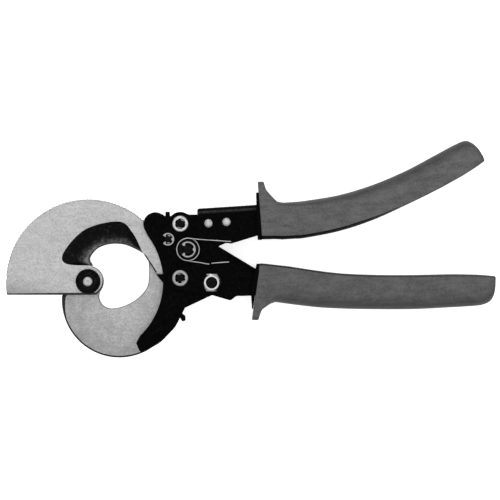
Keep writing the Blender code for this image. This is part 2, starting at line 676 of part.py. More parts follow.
def make_lower_handle():
    """The moving handle: a channel outside the frame, its core, its grip and its bolt."""
    boss = arc(DRIVE_PIN, 6.5, 78, 250, 12)
    handle = rounded([(*boss[-1],), (62.5, -6.6), (73.0, -9.7, 1.5), (75.9, -7.4, 2.0),
                      (90.0, -7.1), (122.0, -8.5, 2.0), (122.0, 1.5, 2.0), (90.0, 4.0),
                      (67.0, 17.4, 1.0), (61.5, 14.0), (52.0, 7.8)])[1:]
    outline = boss + handle
    holes = [circle(DRIVE_PIN, 2.3), circle(HANDLE_PIVOT, PIVOT_BORE),
             circle(LOWER_RIVET, 1.5, 12)]
    inside = [Vector(p) for p in ((35.0, 30.0), (71.0, 30.0), (71.0, 13.4), (90.0, 2.3),
                                  (130.0, -0.2), (130.0, -30.0), (35.0, -30.0))]
    bar = channel("lower_handle_channel", outline, holes, inside)
    boolean(bar, leg_hook("lower_handle_hook"), "UNION")
    core_outline = rounded([(75.5, -5.6, 1.0), (85.0, -5.0, 1.0), (85.0, 3.6, 1.0),
                            (75.5, 8.6, 1.0)])
    core_layer = (FLANGE_REAR[1] + GAP, FLANGE_FRONT[0] - GAP)
    core_hole = circle(LOWER_RIVET, 1.5, 12)
    core = flat("lower_handle_core", core_layer, [core_outline, core_hole], "black_steel")
    core_rivet = pin("lower_handle_rivet", LOWER_RIVET, CHANNEL[0], CHANNEL[1], 1.2,
                     "black_steel")

    guard = rounded([(87.6, 6.0), (92.0, 3.0), (96.0, -10.0), (95.0, -10.5, 4.0),
                     (88.9, -14.6, 1.0), (87.2, -19.9, 0.6), (83.9, -19.9, 0.6),
                     (83.9, -14.2), (84.7, -14.2), (86.3, -3.0)])
    inner = [(88.1, 9.2), (95.0, 8.5), (104.1, 7.5), (118.0, 5.4), (131.6, 3.9), (150.0, 3.2),
             (168.1, 3.2), (187.0, 3.6), (200.0, 3.4)]
    outer = [(85.3, -9.9), (95.0, -10.3), (104.1, -11.6), (118.0, -13.1), (131.6, -13.8),
             (150.0, -14.1), (168.1, -14.0), (184.0, -13.2), (197.0, -12.6)]
    tip = [((204.5, 3.1), (201.8, -12.2), 11.1), ((206.9, 2.9), (205.4, -10.8), 10.8),
           ((207.8, 2.8), (207.3, -8.6), 10.2), ((208.2, 2.7), (207.9, -6.2), 9.3)]
    handle_grip = grip("lower_grip", inner, outer, tip, guard, outline, "lower_vinyl")
    plate = rounded([(86.3, 9.0, 0.4), (83.3, -5.1), (83.9, -13.9, 0.4), (84.5, -13.9),
                     (87.9, 9.0)])
    handle_collar = collar("lower_grip_collar", plate, outline)

    ring_front = CHANNEL[1] + GAP
    ring_rear = CHANNEL[0] - GAP - 0.8
    drive_pin = pin("drive_pawl_pin", DRIVE_PIN, ring_rear - 0.8, ring_front + 1.6, 2.0,
                    "black_steel")
    rings = [star_ring("drive_pawl_ring_front", DRIVE_PIN, ring_front, 2.0),
             star_ring("drive_pawl_ring_rear", DRIVE_PIN, ring_rear, 2.0)]
    axis = axis_empty("handle_axis", HANDLE_PIVOT)
    carry(axis, [bar, core, core_rivet, handle_grip, handle_collar, drive_pin, *rings])
    return axis


def make_handle_pivot():
    """The bolt the lower handle turns on, which stays with the frame."""
    nut_low = CHANNEL[1] + GAP
    flat("handle_pivot_nut", (nut_low, nut_low + 2.5),
         [hexagon(HANDLE_PIVOT, 8.8), circle(HANDLE_PIVOT, PIVOT_BORE)], "bright_steel")
    head = flat("handle_pivot_bolt", (0.3, CHANNEL[0] - GAP), [hexagon(HANDLE_PIVOT, 9.0)],
                "black_steel")
    shank = turned("handle_pivot_shank", HANDLE_PIVOT,
                   [(0, 23.9), (2.6, 23.9), (3.0, 23.5), (3.0, 1.5), (0, 1.5)], "black_steel")
    boolean(head, shank, "UNION")
    sleeve("handle_pivot_sleeve", HANDLE_PIVOT, INSIDE, PIVOT_BORE, 4.8, "black_steel")


def small_spring(name, centre):
    """A light coil behind a pawl, with a short leg towards the frame and one to the pawl."""
    wire, radius, turns, steps = 0.3, 3.1, 2.25, 36
    low = BLADE_REAR[0] + wire + 0.2
    coil = []
    for k in range(steps + 1):
        place = polar(radius, 90 + 360 * turns * k / steps, centre)
        coil.append(Vector((*place, low + 0.85 * turns * k / steps)))
    frame_leg = coil[0] + Vector((5.5, 0.0, 0.0))
    pawl_leg = coil[-1] + Vector((0.1, -3.4, 0.0))
    return tube(name, [frame_leg, *coil, pawl_leg], wire, "spring_steel", 1)


def make_drive_pawl(handle_axis):
    """The pawl on the lower handle that pushes the rim round, with its release tail."""
    tooth_line = [polar(RIM + GAP, -5.6)]
    for k in range(3):
        angle = -5.6 - k * TOOTH_PITCH
        tooth_line.append(polar(RIM + GAP + TOOTH_DEPTH, angle - TOOTH_PITCH * 0.25))
        tooth_line.append(polar(RIM + GAP, angle - TOOTH_PITCH))
    heel = arc(DRIVE_PIN, 4.1, 0, 190, 12)
    tail = rounded([(43.4, -10.9), (44.9, -12.4), (46.2, -17.2), (48.3, -20.6, 0.6),
                    (49.9, -20.0, 0.5), (49.7, -17.7, 0.5), (48.2, -16.6, 0.5),
                    (49.9, -8.0, 3.0)])
    outline = heel + tooth_line + tail
    pawl = flat("drive_pawl", BLADE_FRONT, [outline, circle(DRIVE_PIN, 2.3)], "black_steel")
    spring = small_spring("drive_pawl_spring", DRIVE_PIN)
    axis = axis_empty("drive_pawl_axis", DRIVE_PIN, handle_axis)
    carry(axis, [pawl, spring])


def make_holding_pawl():
    """The pawl on the frame that holds the rim between strokes, with its release tab."""
    tooth_line = [polar(RIM + GAP, 19.4)]
    for k in range(2):
        angle = 19.4 - k * TOOTH_PITCH
        tooth_line.append(polar(RIM + GAP + TOOTH_DEPTH, angle - TOOTH_PITCH * 0.25))
        tooth_line.append(polar(RIM + GAP, angle - TOOTH_PITCH))
    left_side = arc(HOLD_PIN, 3.3, 130, 205, 12)
    toe = rounded([(42.3, 10.9), (44.6, 10.9, 0.8), (44.4, 19.8)])
    tab = [Vector((42.0, 25.2)), Vector((41.7, 35.7)), Vector((39.6, 35.7)),
           Vector((39.3, 25.0))]
    outline = left_side + tooth_line + toe + tab
    pawl = flat("holding_pawl", BLADE_FRONT, [outline, circle(HOLD_PIN, 2.05)], "black_steel")
    spring = small_spring("holding_pawl_spring", HOLD_PIN)
    carry(axis_empty("holding_pawl_axis", HOLD_PIN), [pawl, spring])

    low_front = PLATE_FRONT[1] + GAP
    low_rear = PLATE_REAR[0] - GAP - 0.7
    pin("holding_pawl_pin", HOLD_PIN, low_rear - 1.0, low_front + 1.7, 1.75, "black_steel",
        [groove_for(low_front), groove_for(low_rear)])
    clip("holding_pawl_clip_front", HOLD_PIN, low_front, 1.75, 3.2)
    clip("holding_pawl_clip_rear", HOLD_PIN, low_rear, 1.75, 3.2)


clear_scene()
parts = new_collection("cable_cutter")
cutters = new_collection("cutters")
make_blades()
make_nose()
make_frame()
make_spring_post()
make_upper_handle()
lower_axis = make_lower_handle()
make_handle_pivot()
make_drive_pawl(lower_axis)
make_holding_pawl()
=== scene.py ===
"""Looks of the ratcheting cable cutter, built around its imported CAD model.

The tool lies on its back with +X from the jaw to the grips, +Y across the handles and +Z
towards the camera. Sizes are written in millimetres and MM turns them into metres.
"""
import math

import bmesh
import bpy
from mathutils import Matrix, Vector


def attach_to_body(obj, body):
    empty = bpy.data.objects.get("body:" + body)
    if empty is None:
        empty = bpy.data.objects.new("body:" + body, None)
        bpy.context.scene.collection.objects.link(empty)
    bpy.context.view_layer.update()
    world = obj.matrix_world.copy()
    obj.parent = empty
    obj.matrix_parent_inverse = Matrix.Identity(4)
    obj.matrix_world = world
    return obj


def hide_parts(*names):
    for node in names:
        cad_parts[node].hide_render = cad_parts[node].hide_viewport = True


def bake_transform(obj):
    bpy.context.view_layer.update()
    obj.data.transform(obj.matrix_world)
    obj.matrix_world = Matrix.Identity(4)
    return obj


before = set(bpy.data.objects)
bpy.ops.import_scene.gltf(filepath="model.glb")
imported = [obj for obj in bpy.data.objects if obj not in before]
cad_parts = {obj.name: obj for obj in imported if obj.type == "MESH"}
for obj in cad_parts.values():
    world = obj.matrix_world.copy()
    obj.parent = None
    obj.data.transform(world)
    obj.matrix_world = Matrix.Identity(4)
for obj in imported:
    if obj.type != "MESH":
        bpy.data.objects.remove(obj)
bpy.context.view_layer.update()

MM = 0.001

# Layers, from the CAD model
THICKNESS = 24.0
MIDDLE = THICKNESS / 2
GAP = 0.3
BLADE_FRONT = (12.15, 16.15)
BLADE_REAR = (7.85, 11.85)
PLATE_FRONT = (16.45, 18.95)
PLATE_REAR = (5.05, 7.55)
FLANGE_FRONT = (19.25, 20.75)
FLANGE_REAR = (3.25, 4.75)
CHANNEL = (FLANGE_REAR[0], FLANGE_FRONT[1])

# Axes, seen from the front
NOSE = Vector((0.0, 0.0))
FRAME_PIN = Vector((47.3, 29.5))
DRIVE_PIN = Vector((47.3, 1.8))
HOLD_PIN = Vector((41.0, 21.6))
SPRING_POST = Vector((51.3, 16.4))
HANDLE_PIVOT = Vector((63.4, -0.5))
UPPER_RIVETS = (Vector((61.7, 29.7)), Vector((70.9, 30.4)))
LOWER_RIVET = Vector((79.5, 0.6))
ARM_RIVETS = (Vector((39.2, -21.3)), Vector((35.1, -27.5)))
TANG_RIVETS = (Vector((40.2, 7.8)), Vector((40.5, -6.1)))
SQUEEZE = 16.0                  # degrees that the lower handle can turn

# Blades
RIM = 42.2
TOOTH_COUNT = 69
TOOTH_PITCH = 2.5               # degrees
TOOTH_DEPTH = 0.55
HUB = 7.9
FIXED_CENTRE = Vector((15.7, -9.6))
FIXED_RADIUS = 29.65
FRAME_INNER = 38.5              # radius of the frame's edge beside the jaw

# Radii of holes
BORE = 2.8                      # for the nose bolt and the spring post
PIVOT_BORE = 3.3                # for the handle bolt
PIN_BORE = 2.3                  # for the frame pin and the drive pawl's pin
HOLD_BORE = 2.05
RIVET_BORE = 1.9
FLUSH_BORE = 1.22               # for rivets that end flush in the paint

# Pins and what holds them
PIN = 2.0
HOLD_RADIUS = 1.75
POST = 2.5
RING = 4.1
RING_THICKNESS = 0.8
CLIP_THICKNESS = 0.7

GRIP = 22.2                     # thickness of the grips behind their guards
STEPS = 48                      # sides of a turned piece
SMALL_STEPS = 24                # sides of a rivet's hole


# Outlines

def polar(radius, degrees, centre=NOSE):
    angle = math.radians(degrees)
    return centre + radius * Vector((math.cos(angle), math.sin(angle)))


def arc(centre, radius, start, end, step=4.0):
    count = max(2, math.ceil(abs(end - start) / step))
    return [polar(radius, start + (end - start) * i / count, centre) for i in range(count + 1)]


def circle(centre, radius, segments=STEPS):
    return arc(centre, radius, 0, 360, 360 / segments)[:-1]


def rivet_holes(centres, radius):
    return [circle(centre, radius, SMALL_STEPS) for centre in centres]


def vectors(*pairs):
    return [Vector(pair) for pair in pairs]


def rounded(corners, step=9):
    """A closed outline through (x, y, radius) corners; a corner without a radius is sharp."""
    points = []
    for i, (x, y, *radius) in enumerate(corners):
        corner = Vector((x, y))
        before = (Vector(corners[i - 1][:2]) - corner).normalized()
        after = (Vector(corners[(i + 1) % len(corners)][:2]) - corner).normalized()
        if not radius:
            points.append(corner)
            continue
        half = before.angle(after) / 2
        middle = corner + (before + after).normalized() * (radius[0] / math.sin(half))
        first = corner + before * (radius[0] / math.tan(half)) - middle
        turn = math.copysign(math.pi - 2 * half, before.cross(after))
        count = max(1, math.ceil(math.degrees(abs(turn)) / step))
        for k in range(count + 1):
            angle = math.atan2(first.y, first.x) - turn * k / count
            points.append(middle + radius[0] * Vector((math.cos(angle), math.sin(angle))))
    return points


def smooth_line(points, per_span):
    """An open Catmull-Rom curve through the points, in two or three dimensions."""
    knots = [Vector(p) for p in points]
    knots = [2 * knots[0] - knots[1], *knots, 2 * knots[-1] - knots[-2]]
    line = []
    for a, b, c, d in zip(knots, knots[1:], knots[2:], knots[3:]):
        for k in range(per_span):
            t = k / per_span
            line.append(0.5 * (2 * b + (c - a) * t + (2 * a - 5 * b + 4 * c - d) * t ** 2
                               + (3 * b - a - 3 * c + d) * t ** 3))
    return line + [knots[-2]]


def grown(outline, distance):
    """A closed outline moved outwards; distance is one number or one for each point."""
    area = sum(a.cross(b) for a, b in zip(outline, outline[1:] + outline[:1]))
    steps = distance if isinstance(distance, list) else [distance] * len(outline)
    moved = []
    for i, point in enumerate(outline):
        along_in = (point - outline[i - 1]).normalized()
        along_out = (outline[(i + 1) % len(outline)] - point).normalized()
        normal_in = Vector((along_in.y, -along_in.x))
        normal_out = Vector((along_out.y, -along_out.x))
        corner = (normal_in + normal_out).normalized()
        side = math.copysign(1.0, area) * steps[i]
        moved.append(point + corner * side / max(0.5, corner.dot(normal_in)))
    return moved


def teeth(radius, start, count):
    """Ratchet teeth along an arc: a slow rise to each tip and a steep drop after it."""
    points = []
    for tooth in range(count):
        angle = start + tooth * TOOTH_PITCH
        for share, height in ((0.0, 0.0), (0.25, 0.4), (0.68, 0.97), (0.75, 1.0), (0.82, 0.9)):
            inwards = TOOTH_DEPTH * (1 - height)
            points.append(polar(radius - inwards, angle + TOOTH_PITCH * share))
    return points


# Materials

def grey(level):
    return (level, level, level)


def fill_ramp(node, stops):
    """Give a colour ramp its (position, grey) stops, and return its colour."""
    elements = node.color_ramp.elements
    while len(elements) < len(stops):
        elements.new(0.5)
    for element, (position, level) in zip(elements, stops):
        element.position = position
        element.color = (*grey(level), 1.0)
    return node.outputs["Color"]


class Nodes:
    """A material's node tree with short ways to add and link nodes."""

    def __init__(self, name):
        self.material = bpy.data.materials.new(name)
        self.material.use_nodes = True
        self.tree = self.material.node_tree
        self.shader = self.tree.nodes["Principled BSDF"]
        self.coordinates = self.tree.nodes.new("ShaderNodeTexCoord").outputs
        self.place = self.coordinates["Object"]

    def link(self, source, target):
        self.tree.links.new(source, target)

    def feed(self, socket, value):
        """Link a socket to another one, or set it to a number or a colour."""
        if isinstance(value, bpy.types.NodeSocket):
            self.link(value, socket)
        elif isinstance(value, tuple):
            socket.default_value = (*value, 1.0)
        else:
            socket.default_value = value

    def set(self, **values):
        """Set inputs of the shader; an underscore stands for a space in their names."""
        for name, value in values.items():
            self.shader.inputs[name.replace("_", " ")].default_value = value

    def stretched(self, scale):
        mapping = self.tree.nodes.new("ShaderNodeMapping")
        mapping.inputs["Scale"].default_value = scale
        self.link(self.place, mapping.inputs["Vector"])
        return mapping.outputs["Vector"]

    def noise(self, size_mm, detail, roughness=0.55, vector=None):
        """Noise whose blotches are about size_mm across."""
        node = self.tree.nodes.new("ShaderNodeTexNoise")
        node.inputs["Scale"].default_value = 1.0 / (size_mm * MM)
        node.inputs["Detail"].default_value = detail
        node.inputs["Roughness"].default_value = roughness
        self.link(vector or self.place, node.inputs["Vector"])
        return node.outputs["Fac"]

    def facing(self, direction):
        """How squarely the surface faces along a direction or against it, from 0 to 1."""
        dot = self.tree.nodes.new("ShaderNodeVectorMath")
        dot.operation = "DOT_PRODUCT"
        self.link(self.coordinates["Normal"], dot.inputs[0])
        dot.inputs[1].default_value = direction
        return self.math("ABSOLUTE", dot.outputs["Value"])

    def attribute(self, name):
        node = self.tree.nodes.new("ShaderNodeAttribute")
        node.attribute_name = name
        return node.outputs["Fac"]

    def ramp(self, factor, stops):
        node = self.tree.nodes.new("ShaderNodeValToRGB")
        self.link(factor, node.inputs["Fac"])
        return fill_ramp(node, stops)

    def mix(self, factor, first, second, blend="MIX"):
        """Mix of two colours or sockets; factor is a number or a socket."""
        node = self.tree.nodes.new("ShaderNodeMix")
        node.data_type = "RGBA"
        node.blend_type = blend
        factor_input, first_colour, second_colour, colour_output = 0, 6, 7, 2
        self.feed(node.inputs[factor_input], factor)
        self.feed(node.inputs[first_colour], first)
        self.feed(node.inputs[second_colour], second)
        return node.outputs[colour_output]

    def math(self, operation, *values):
        node = self.tree.nodes.new("ShaderNodeMath")
        node.operation = operation
        for socket, value in zip(node.inputs, values):
            self.feed(socket, value)
        return node.outputs[0]

    def colour(self, source):
        self.link(source, self.shader.inputs["Base Color"])

    def roughness(self, source):
        self.link(source, self.shader.inputs["Roughness"])

    def bump(self, height, depth_mm, strength):
        node = self.tree.nodes.new("ShaderNodeBump")
        node.inputs["Distance"].default_value = depth_mm * MM
        node.inputs["Strength"].default_value = strength
        self.link(height, node.inputs["Height"])
        self.link(node.outputs["Normal"], self.shader.inputs["Normal"])


def blade_steel(name, level, spread):
    """Blasted tool steel: pale, finely speckled, with faint stains and rubbing marks."""
    n = Nodes(name)
    n.set(Metallic=0.5)
    stains = n.noise(5.0, 5.0, 0.65)
    speckle = n.noise(0.8, 4.0, 0.8)
    rubbed = n.noise(1.2, 4.0, 0.65, n.stretched((0.3, 1.0, 1.0)))
    base = n.ramp(stains, [(0.35, level - spread), (0.65, level + spread)])
    base = n.mix(n.ramp(speckle, [(0.42, 0.0), (0.62, 0.75)]), base, grey(level * 0.55))
    base = n.mix(n.ramp(rubbed, [(0.5, 0.0), (0.72, 0.5)]), base, grey(level * 1.2))
    n.colour(base)
    n.roughness(n.ramp(speckle, [(0.3, 0.34), (0.7, 0.54)]))
    n.bump(speckle, 0.03, 0.6)
    return n.material


def ground_steel(name):
    """The ground face, painted near-black as the shade on its slope, rubbed bright towards the
    cutting edge.
    """
    n = Nodes(name)
    n.set(Metallic=0.3, Specular_IOR_Level=0.1)
    patches = n.noise(2.6, 5.0, 0.75)
    specks = n.noise(0.9, 4.0, 0.8)
    worn = n.math("MULTIPLY_ADD", patches, 0.8, n.attribute("ground"))
    worn = n.math("MULTIPLY_ADD", specks, 0.55, worn)
    worn = n.math("MULTIPLY", worn, 0.5)
    # Painted shade: near-black over the slope, lighter where rubbed towards the edge.
    base = n.ramp(worn, [(0.56, 0.001), (0.64, 0.01), (0.71, 0.055), (0.82, 0.2)])
    scuffs = n.ramp(n.noise(1.8, 5.0, 0.85), [(0.55, 0.0), (0.64, 0.8)])
    base = n.mix(scuffs, base, grey(0.03))
    n.colour(base)
    n.roughness(n.ramp(specks, [(0.2, 0.45), (0.8, 0.65)]))
    n.bump(specks, 0.04, 0.6)
    return n.material


def marked(name, metallic, specular, noise, greys, roughness, bump):
    """Metal or thin paint whose grey, roughness and relief all follow one noise."""
    n = Nodes(name)
    n.set(Metallic=metallic, Specular_IOR_Level=specular)
    marks = n.noise(*noise)
    n.colour(n.ramp(marks, greys))
    n.roughness(n.ramp(marks, roughness))
    n.bump(marks, *bump)
    return n.material


def honed_steel(name):
    """The narrow honed band beside the cutting edge."""
    return marked(name, metallic=0.6, specular=0.5, noise=(0.8, 4.0, 0.7),
                  greys=[(0.3, 0.02), (0.55, 0.09), (0.75, 0.22)],
                  roughness=[(0.2, 0.35), (0.8, 0.5)], bump=(0.02, 0.4))


def worn_paint(name):
    """Paint rubbed thin along an edge, with bare metal in places."""
    return marked(name, metallic=0.3, specular=0.03, noise=(1.1, 4.0, 0.7),
                  greys=[(0.45, 0.002), (0.62, 0.01), (0.78, 0.035)],
                  roughness=[(0.3, 0.38), (0.7, 0.55)], bump=(0.02, 0.4))


def dark_metal(name):
    """Blackened steel of pins, bolts and the nose nut."""
    return marked(name, metallic=0.4, specular=0.03, noise=(0.8, 4.0, 0.8),
                  greys=[(0.45, 0.002), (0.6, 0.01), (0.72, 0.04)],
                  roughness=[(0.2, 0.38), (0.8, 0.55)], bump=(0.03, 0.5))


def paint_film(name, low, high):
    """The nodes of a thin paint with orange peel, and the noise of the dust in it."""
    n = Nodes(name)
    n.set(Specular_IOR_Level=0.012)
    dust = n.noise(1.3, 6.0, 0.8)
    n.roughness(n.ramp(dust, [(0.3, low), (0.7, high)]))
    n.bump(n.noise(0.9, 3.0, 0.6), 0.03, 0.6)
    return n, dust


def black_paint(name, level, wear, low, high):
    """Black paint over pressed steel; low and high are its roughness."""
    n, dust = paint_film(name, low, high)
    n.colour(n.ramp(dust, [(0.42, level), (0.55, level * 3.0), (0.72, wear)]))
    return n.material


def bend_highlight_paint(name):
    """Paint on a folded edge, with a painted highlight: a grey band along the middle of the
    bend, broken up by dust.
    """
    n, dust = paint_film(name, 0.35, 0.5)
    # Painted highlight: lighter where the bend tilts partway from facing straight up.
    middle = n.ramp(n.facing((0, 0, 1)), [(0.72, 0.0), (0.8, 0.35), (0.88, 1.0), (0.94, 0.45),
                                          (0.99, 0.0)])
    n.colour(n.mix(middle, grey(0.001), n.ramp(dust, [(0.35, 0.012), (0.6, 0.055)])))
    return n.material


def bright_metal(name, level, low=0.2, metallic=0.8):
    """Zinc-plated or polished steel with handling marks."""
    n = Nodes(name)
    n.set(Metallic=metallic)
    marks = n.noise(0.9, 4.0, 0.7)
    film = n.noise(2.5, 3.0)
    base = n.ramp(film, [(0.3, level * 0.85), (0.7, level * 1.1)])
    n.colour(n.mix(n.ramp(marks, [(0.55, 0.0), (0.8, 0.6)]), base, grey(level * 0.35)))
    n.roughness(n.ramp(marks, [(0.2, low), (0.8, low + 0.2)]))
    n.bump(marks, 0.015, 0.4)
    return n.material


def highlighted_cone(name):
    """A plated cone with painted highlights on two opposite sides, broken up by noise."""
    n = Nodes(name)
    n.set(Metallic=0.9)
    # Painted highlight: brighter where the cone faces along or against this direction.
    patches = n.math("MULTIPLY_ADD", n.noise(1.6, 2.0, 0.5), 0.4, n.facing((0.34, 0.94, 0)))
    n.colour(n.ramp(patches, [(0.52, 0.01), (0.66, 0.7)]))
    n.roughness(n.ramp(patches, [(0.3, 0.5), (0.6, 0.25)]))
    n.bump(n.noise(0.7, 3.0), 0.02, 0.5)
    return n.material


def vinyl(name, level):
    """Moulded grey vinyl with flow streaks and a matt texture, with painted shade that darkens
    its sloping sides.
    """
    n = Nodes(name)
    n.set(Specular_IOR_Level=0.1)
    flow = n.noise(3.0, 6.0, 0.75, n.stretched((0.3, 1.0, 1.0)))
    pebble = n.noise(0.9, 4.0, 0.8)
    smudge = n.noise(8.0, 5.0, 0.65)
    base = n.ramp(flow, [(0.38, level * 0.74), (0.62, level * 1.26)])
    base = n.mix(n.ramp(smudge, [(0.48, 0.0), (0.62, 0.6)]), base, grey(level * 0.74))
    base = n.mix(n.ramp(pebble, [(0.48, 0.0), (0.6, 0.6)]), base, grey(level * 1.45))
    # Painted shade: the colour darkens as the surface turns away from facing straight up.
    slope_shade = n.ramp(n.facing((0, 0, 1)), [(0.0, 0.42), (0.45, 0.42), (0.62, 0.5),
                                           (0.75, 0.7), (0.9, 0.93), (1.0, 1.0)])
    n.colour(n.mix(1.0, base, slope_shade, "MULTIPLY"))
    n.roughness(n.ramp(pebble, [(0.2, 0.46), (0.8, 0.62)]))
    n.bump(pebble, 0.03, 0.5)
    return n.material


LOOKS = {
    "moving_blade": blade_steel("moving_blade_steel", 0.49, 0.04),
    "fixed_blade": blade_steel("fixed_blade_steel", 0.42, 0.07),
    # Near-black copies of the blade steel: painted shade for the blades' chamfers and edge
    # bands.
    "blade_edge_shade": blade_steel("blade_edge_painted_shade", 0.075, 0.035),
    "chamfer": blade_steel("blade_chamfer_painted_shade", 0.014, 0.006),
    "ground": ground_steel("ground_steel"),
    "honed": honed_steel("honed_steel"),
    "paint": black_paint("black_paint", 0.0008, 0.01, 0.37, 0.57),
    "paint_edge": worn_paint("worn_paint"),
    "paint_bend_highlight": bend_highlight_paint("bend_highlight_paint"),
    # Black for the collars, dark sheets that stand for painted shade in front of the guards.
    "collar": black_paint("collar_painted_shade", 0.001, 0.006, 0.42, 0.62),
    "oxide": dark_metal("black_oxide"),
    "nose_nut": dark_metal("nose_nut_black"),
    "bright": bright_metal("bright_plating", 0.46),
    "rivet": bright_metal("rivet_head", 0.55, 0.38, 0.6),
    "stud": bright_metal("stud_end", 0.42, 0.3, 0.7),
    "worn_ring": bright_metal("worn_ring", 0.3, 0.3, 0.8),
    "nut_slope_highlight": highlighted_cone("nut_slope_highlight"),
    "spring": bright_metal("spring_wire", 0.42, 0.24, 1.0),
    "upper_vinyl": vinyl("upper_vinyl", 0.115),
    "lower_vinyl": vinyl("lower_vinyl", 0.104),
    # A near-black copy of the vinyl: painted shade for the steep facet along each grip's inner
    # edge.
    "vinyl_painted_shade": vinyl("vinyl_painted_shade", 0.01),
}


# Pieces

def new_object(name, data):
    obj = bpy.data.objects.new(name, data)
    bpy.context.scene.collection.objects.link(obj)
    return obj


def add_row(bm, line, heights):
    """New vertices along a line of (x, y) points, at one height or at one for each."""
    if not isinstance(heights, list):
        heights = [heights] * len(line)
    return [bm.verts.new((p.x * MM, p.y * MM, z * MM)) for p, z in zip(line, heights)]


def strip(bm, first, second):
    """Quads between two rows of vertices."""
    return [bm.faces.new(quad) for quad in zip(first, first[1:], second[1:], second)]


def loft(bm, rings, capped=True):
    """A band of quads between each ring of vertices and the next, with a face at each end."""
    bands = [strip(bm, a + a[:1], b + b[:1]) for a, b in zip(rings, rings[1:])]
    if capped:
        bm.faces.new(rings[0])
        bm.faces.new(list(reversed(rings[-1])))
    return bands


def from_bmesh(name, bm, smooth_angle=32, merge=0.001):
    bmesh.ops.remove_doubles(bm, verts=bm.verts, dist=merge * MM)
    bmesh.ops.recalc_face_normals(bm, faces=bm.faces)
    mesh = bpy.data.meshes.new(name)
    bm.to_mesh(mesh)
    bm.free()
    mesh.shade_smooth()
    mesh.set_sharp_from_angle(angle=math.radians(smooth_angle))
    return new_object(name, mesh)


def evaluated_mesh(obj):
    """A new mesh of the object with its modifiers or its curve made real."""
    graph = bpy.context.evaluated_depsgraph_get()
    graph.update()
    return bpy.data.meshes.new_from_object(obj.evaluated_get(graph))


def applied(obj, smooth_angle=32):
    """The object with its modifiers made real, and its cutters removed."""
    mesh = evaluated_mesh(obj)
    cutters = [m.object for m in obj.modifiers if m.type == "BOOLEAN"]
    if cutters and "soften" not in obj.modifiers:
        mesh.set_sharp_from_angle(angle=math.radians(smooth_angle))
    obj.modifiers.clear()
    obj.data = mesh
    for cutter in cutters:
        bpy.data.objects.remove(cutter, do_unlink=True)
    return obj


def from_curve(name, curve):
    guide = new_object(name + "_guide", curve)
    mesh = evaluated_mesh(guide)
    bm = bmesh.new()
    bm.from_mesh(mesh)
    bpy.data.objects.remove(guide, do_unlink=True)
    bpy.data.meshes.remove(mesh)
    bpy.data.curves.remove(curve)
    return bm


def flat(name, layer, outlines):
    """A flat piece in a layer: the first outline is its rim and the others are holes."""
    curve = bpy.data.curves.new(name, "CURVE")
    curve.dimensions = "2D"
    curve.fill_mode = "BOTH"
    curve.extrude = (layer[1] - layer[0]) / 2 * MM
    for outline in outlines:
        spline = curve.splines.new("POLY")
        spline.points.add(len(outline) - 1)
        spline.use_cyclic_u = True
        for point, (x, y) in zip(spline.points, outline):
            point.co = (x * MM, y * MM, 0.0, 1.0)
    bm = from_curve(name, curve)
    bmesh.ops.translate(bm, verts=bm.verts, vec=(0, 0, sum(layer) / 2 * MM))
    return from_bmesh(name, bm)


def turned(name, centre, profile, steps=STEPS):
    """A turned piece; its profile of (radius, height) points is closed on the axis or itself."""
    bm = bmesh.new()
    if profile[0][0] > 0:
        profile = profile + profile[:1]
    heights = [z for _, z in profile]
    columns = [add_row(bm, [polar(r, 360 * k / steps, centre) for r, _ in profile], heights)
               for k in range(steps)]
    for first, second in zip(columns, columns[1:] + columns[:1]):
        strip(bm, first, second)
    return from_bmesh(name, bm)


def tube(name, path, radius):
    curve = bpy.data.curves.new(name, "CURVE")
    curve.dimensions = "3D"
    curve.bevel_depth = radius * MM
    curve.bevel_resolution = 5
    curve.use_fill_caps = True
    spline = curve.splines.new("POLY")
    spline.points.add(len(path) - 1)
    for point, place in zip(spline.points, path):
        point.co = (*(place * MM), 1.0)
    return from_bmesh(name, from_curve(name, curve), 50)


def boolean(obj, cutter, operation="DIFFERENCE"):
    modifier = obj.modifiers.new(cutter.name, "BOOLEAN")
    modifier.operation = operation
    modifier.object = cutter


def soften(obj, width, segments=2, angle=38, worn=False):
    """Round the sharp edges of a piece; worn edges take its second material."""
    modifier = obj.modifiers.new("soften", "BEVEL")
    modifier.width = width * MM
    modifier.segments = segments
    modifier.limit_method = "ANGLE"
    modifier.angle_limit = math.radians(angle)
    modifier.use_clamp_overlap = True
    modifier.harden_normals = True
    if worn:
        modifier.material = 1


def paint(obj, *looks):
    for look in looks:
        obj.data.materials.append(LOOKS[look])


def attach(obj, body, node):
    """Let a finished piece ride on its body and stand for its CAD node."""
    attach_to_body(obj, body)
    if node:
        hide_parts(node)


def place(obj, body, node, *looks):
    """Paint a piece, make it real and attach it."""
    paint(obj, *looks)
    applied(obj)
    attach(obj, body, node)


def plate(name, layer, outlines, body, node, edge_width=0.3):
    """A painted sheet piece with worn edges."""
    obj = flat(name, layer, outlines)
    soften(obj, edge_width, worn=True)
    place(obj, body, node, "paint", "paint_edge")


# Blades

BLADE_LOOKS = ("ground", "honed", "blade_edge_shade", "chamfer")
GROUND, HONED, BLADE_EDGE_SHADE, CHAMFER_SHADE = range(1, 5)


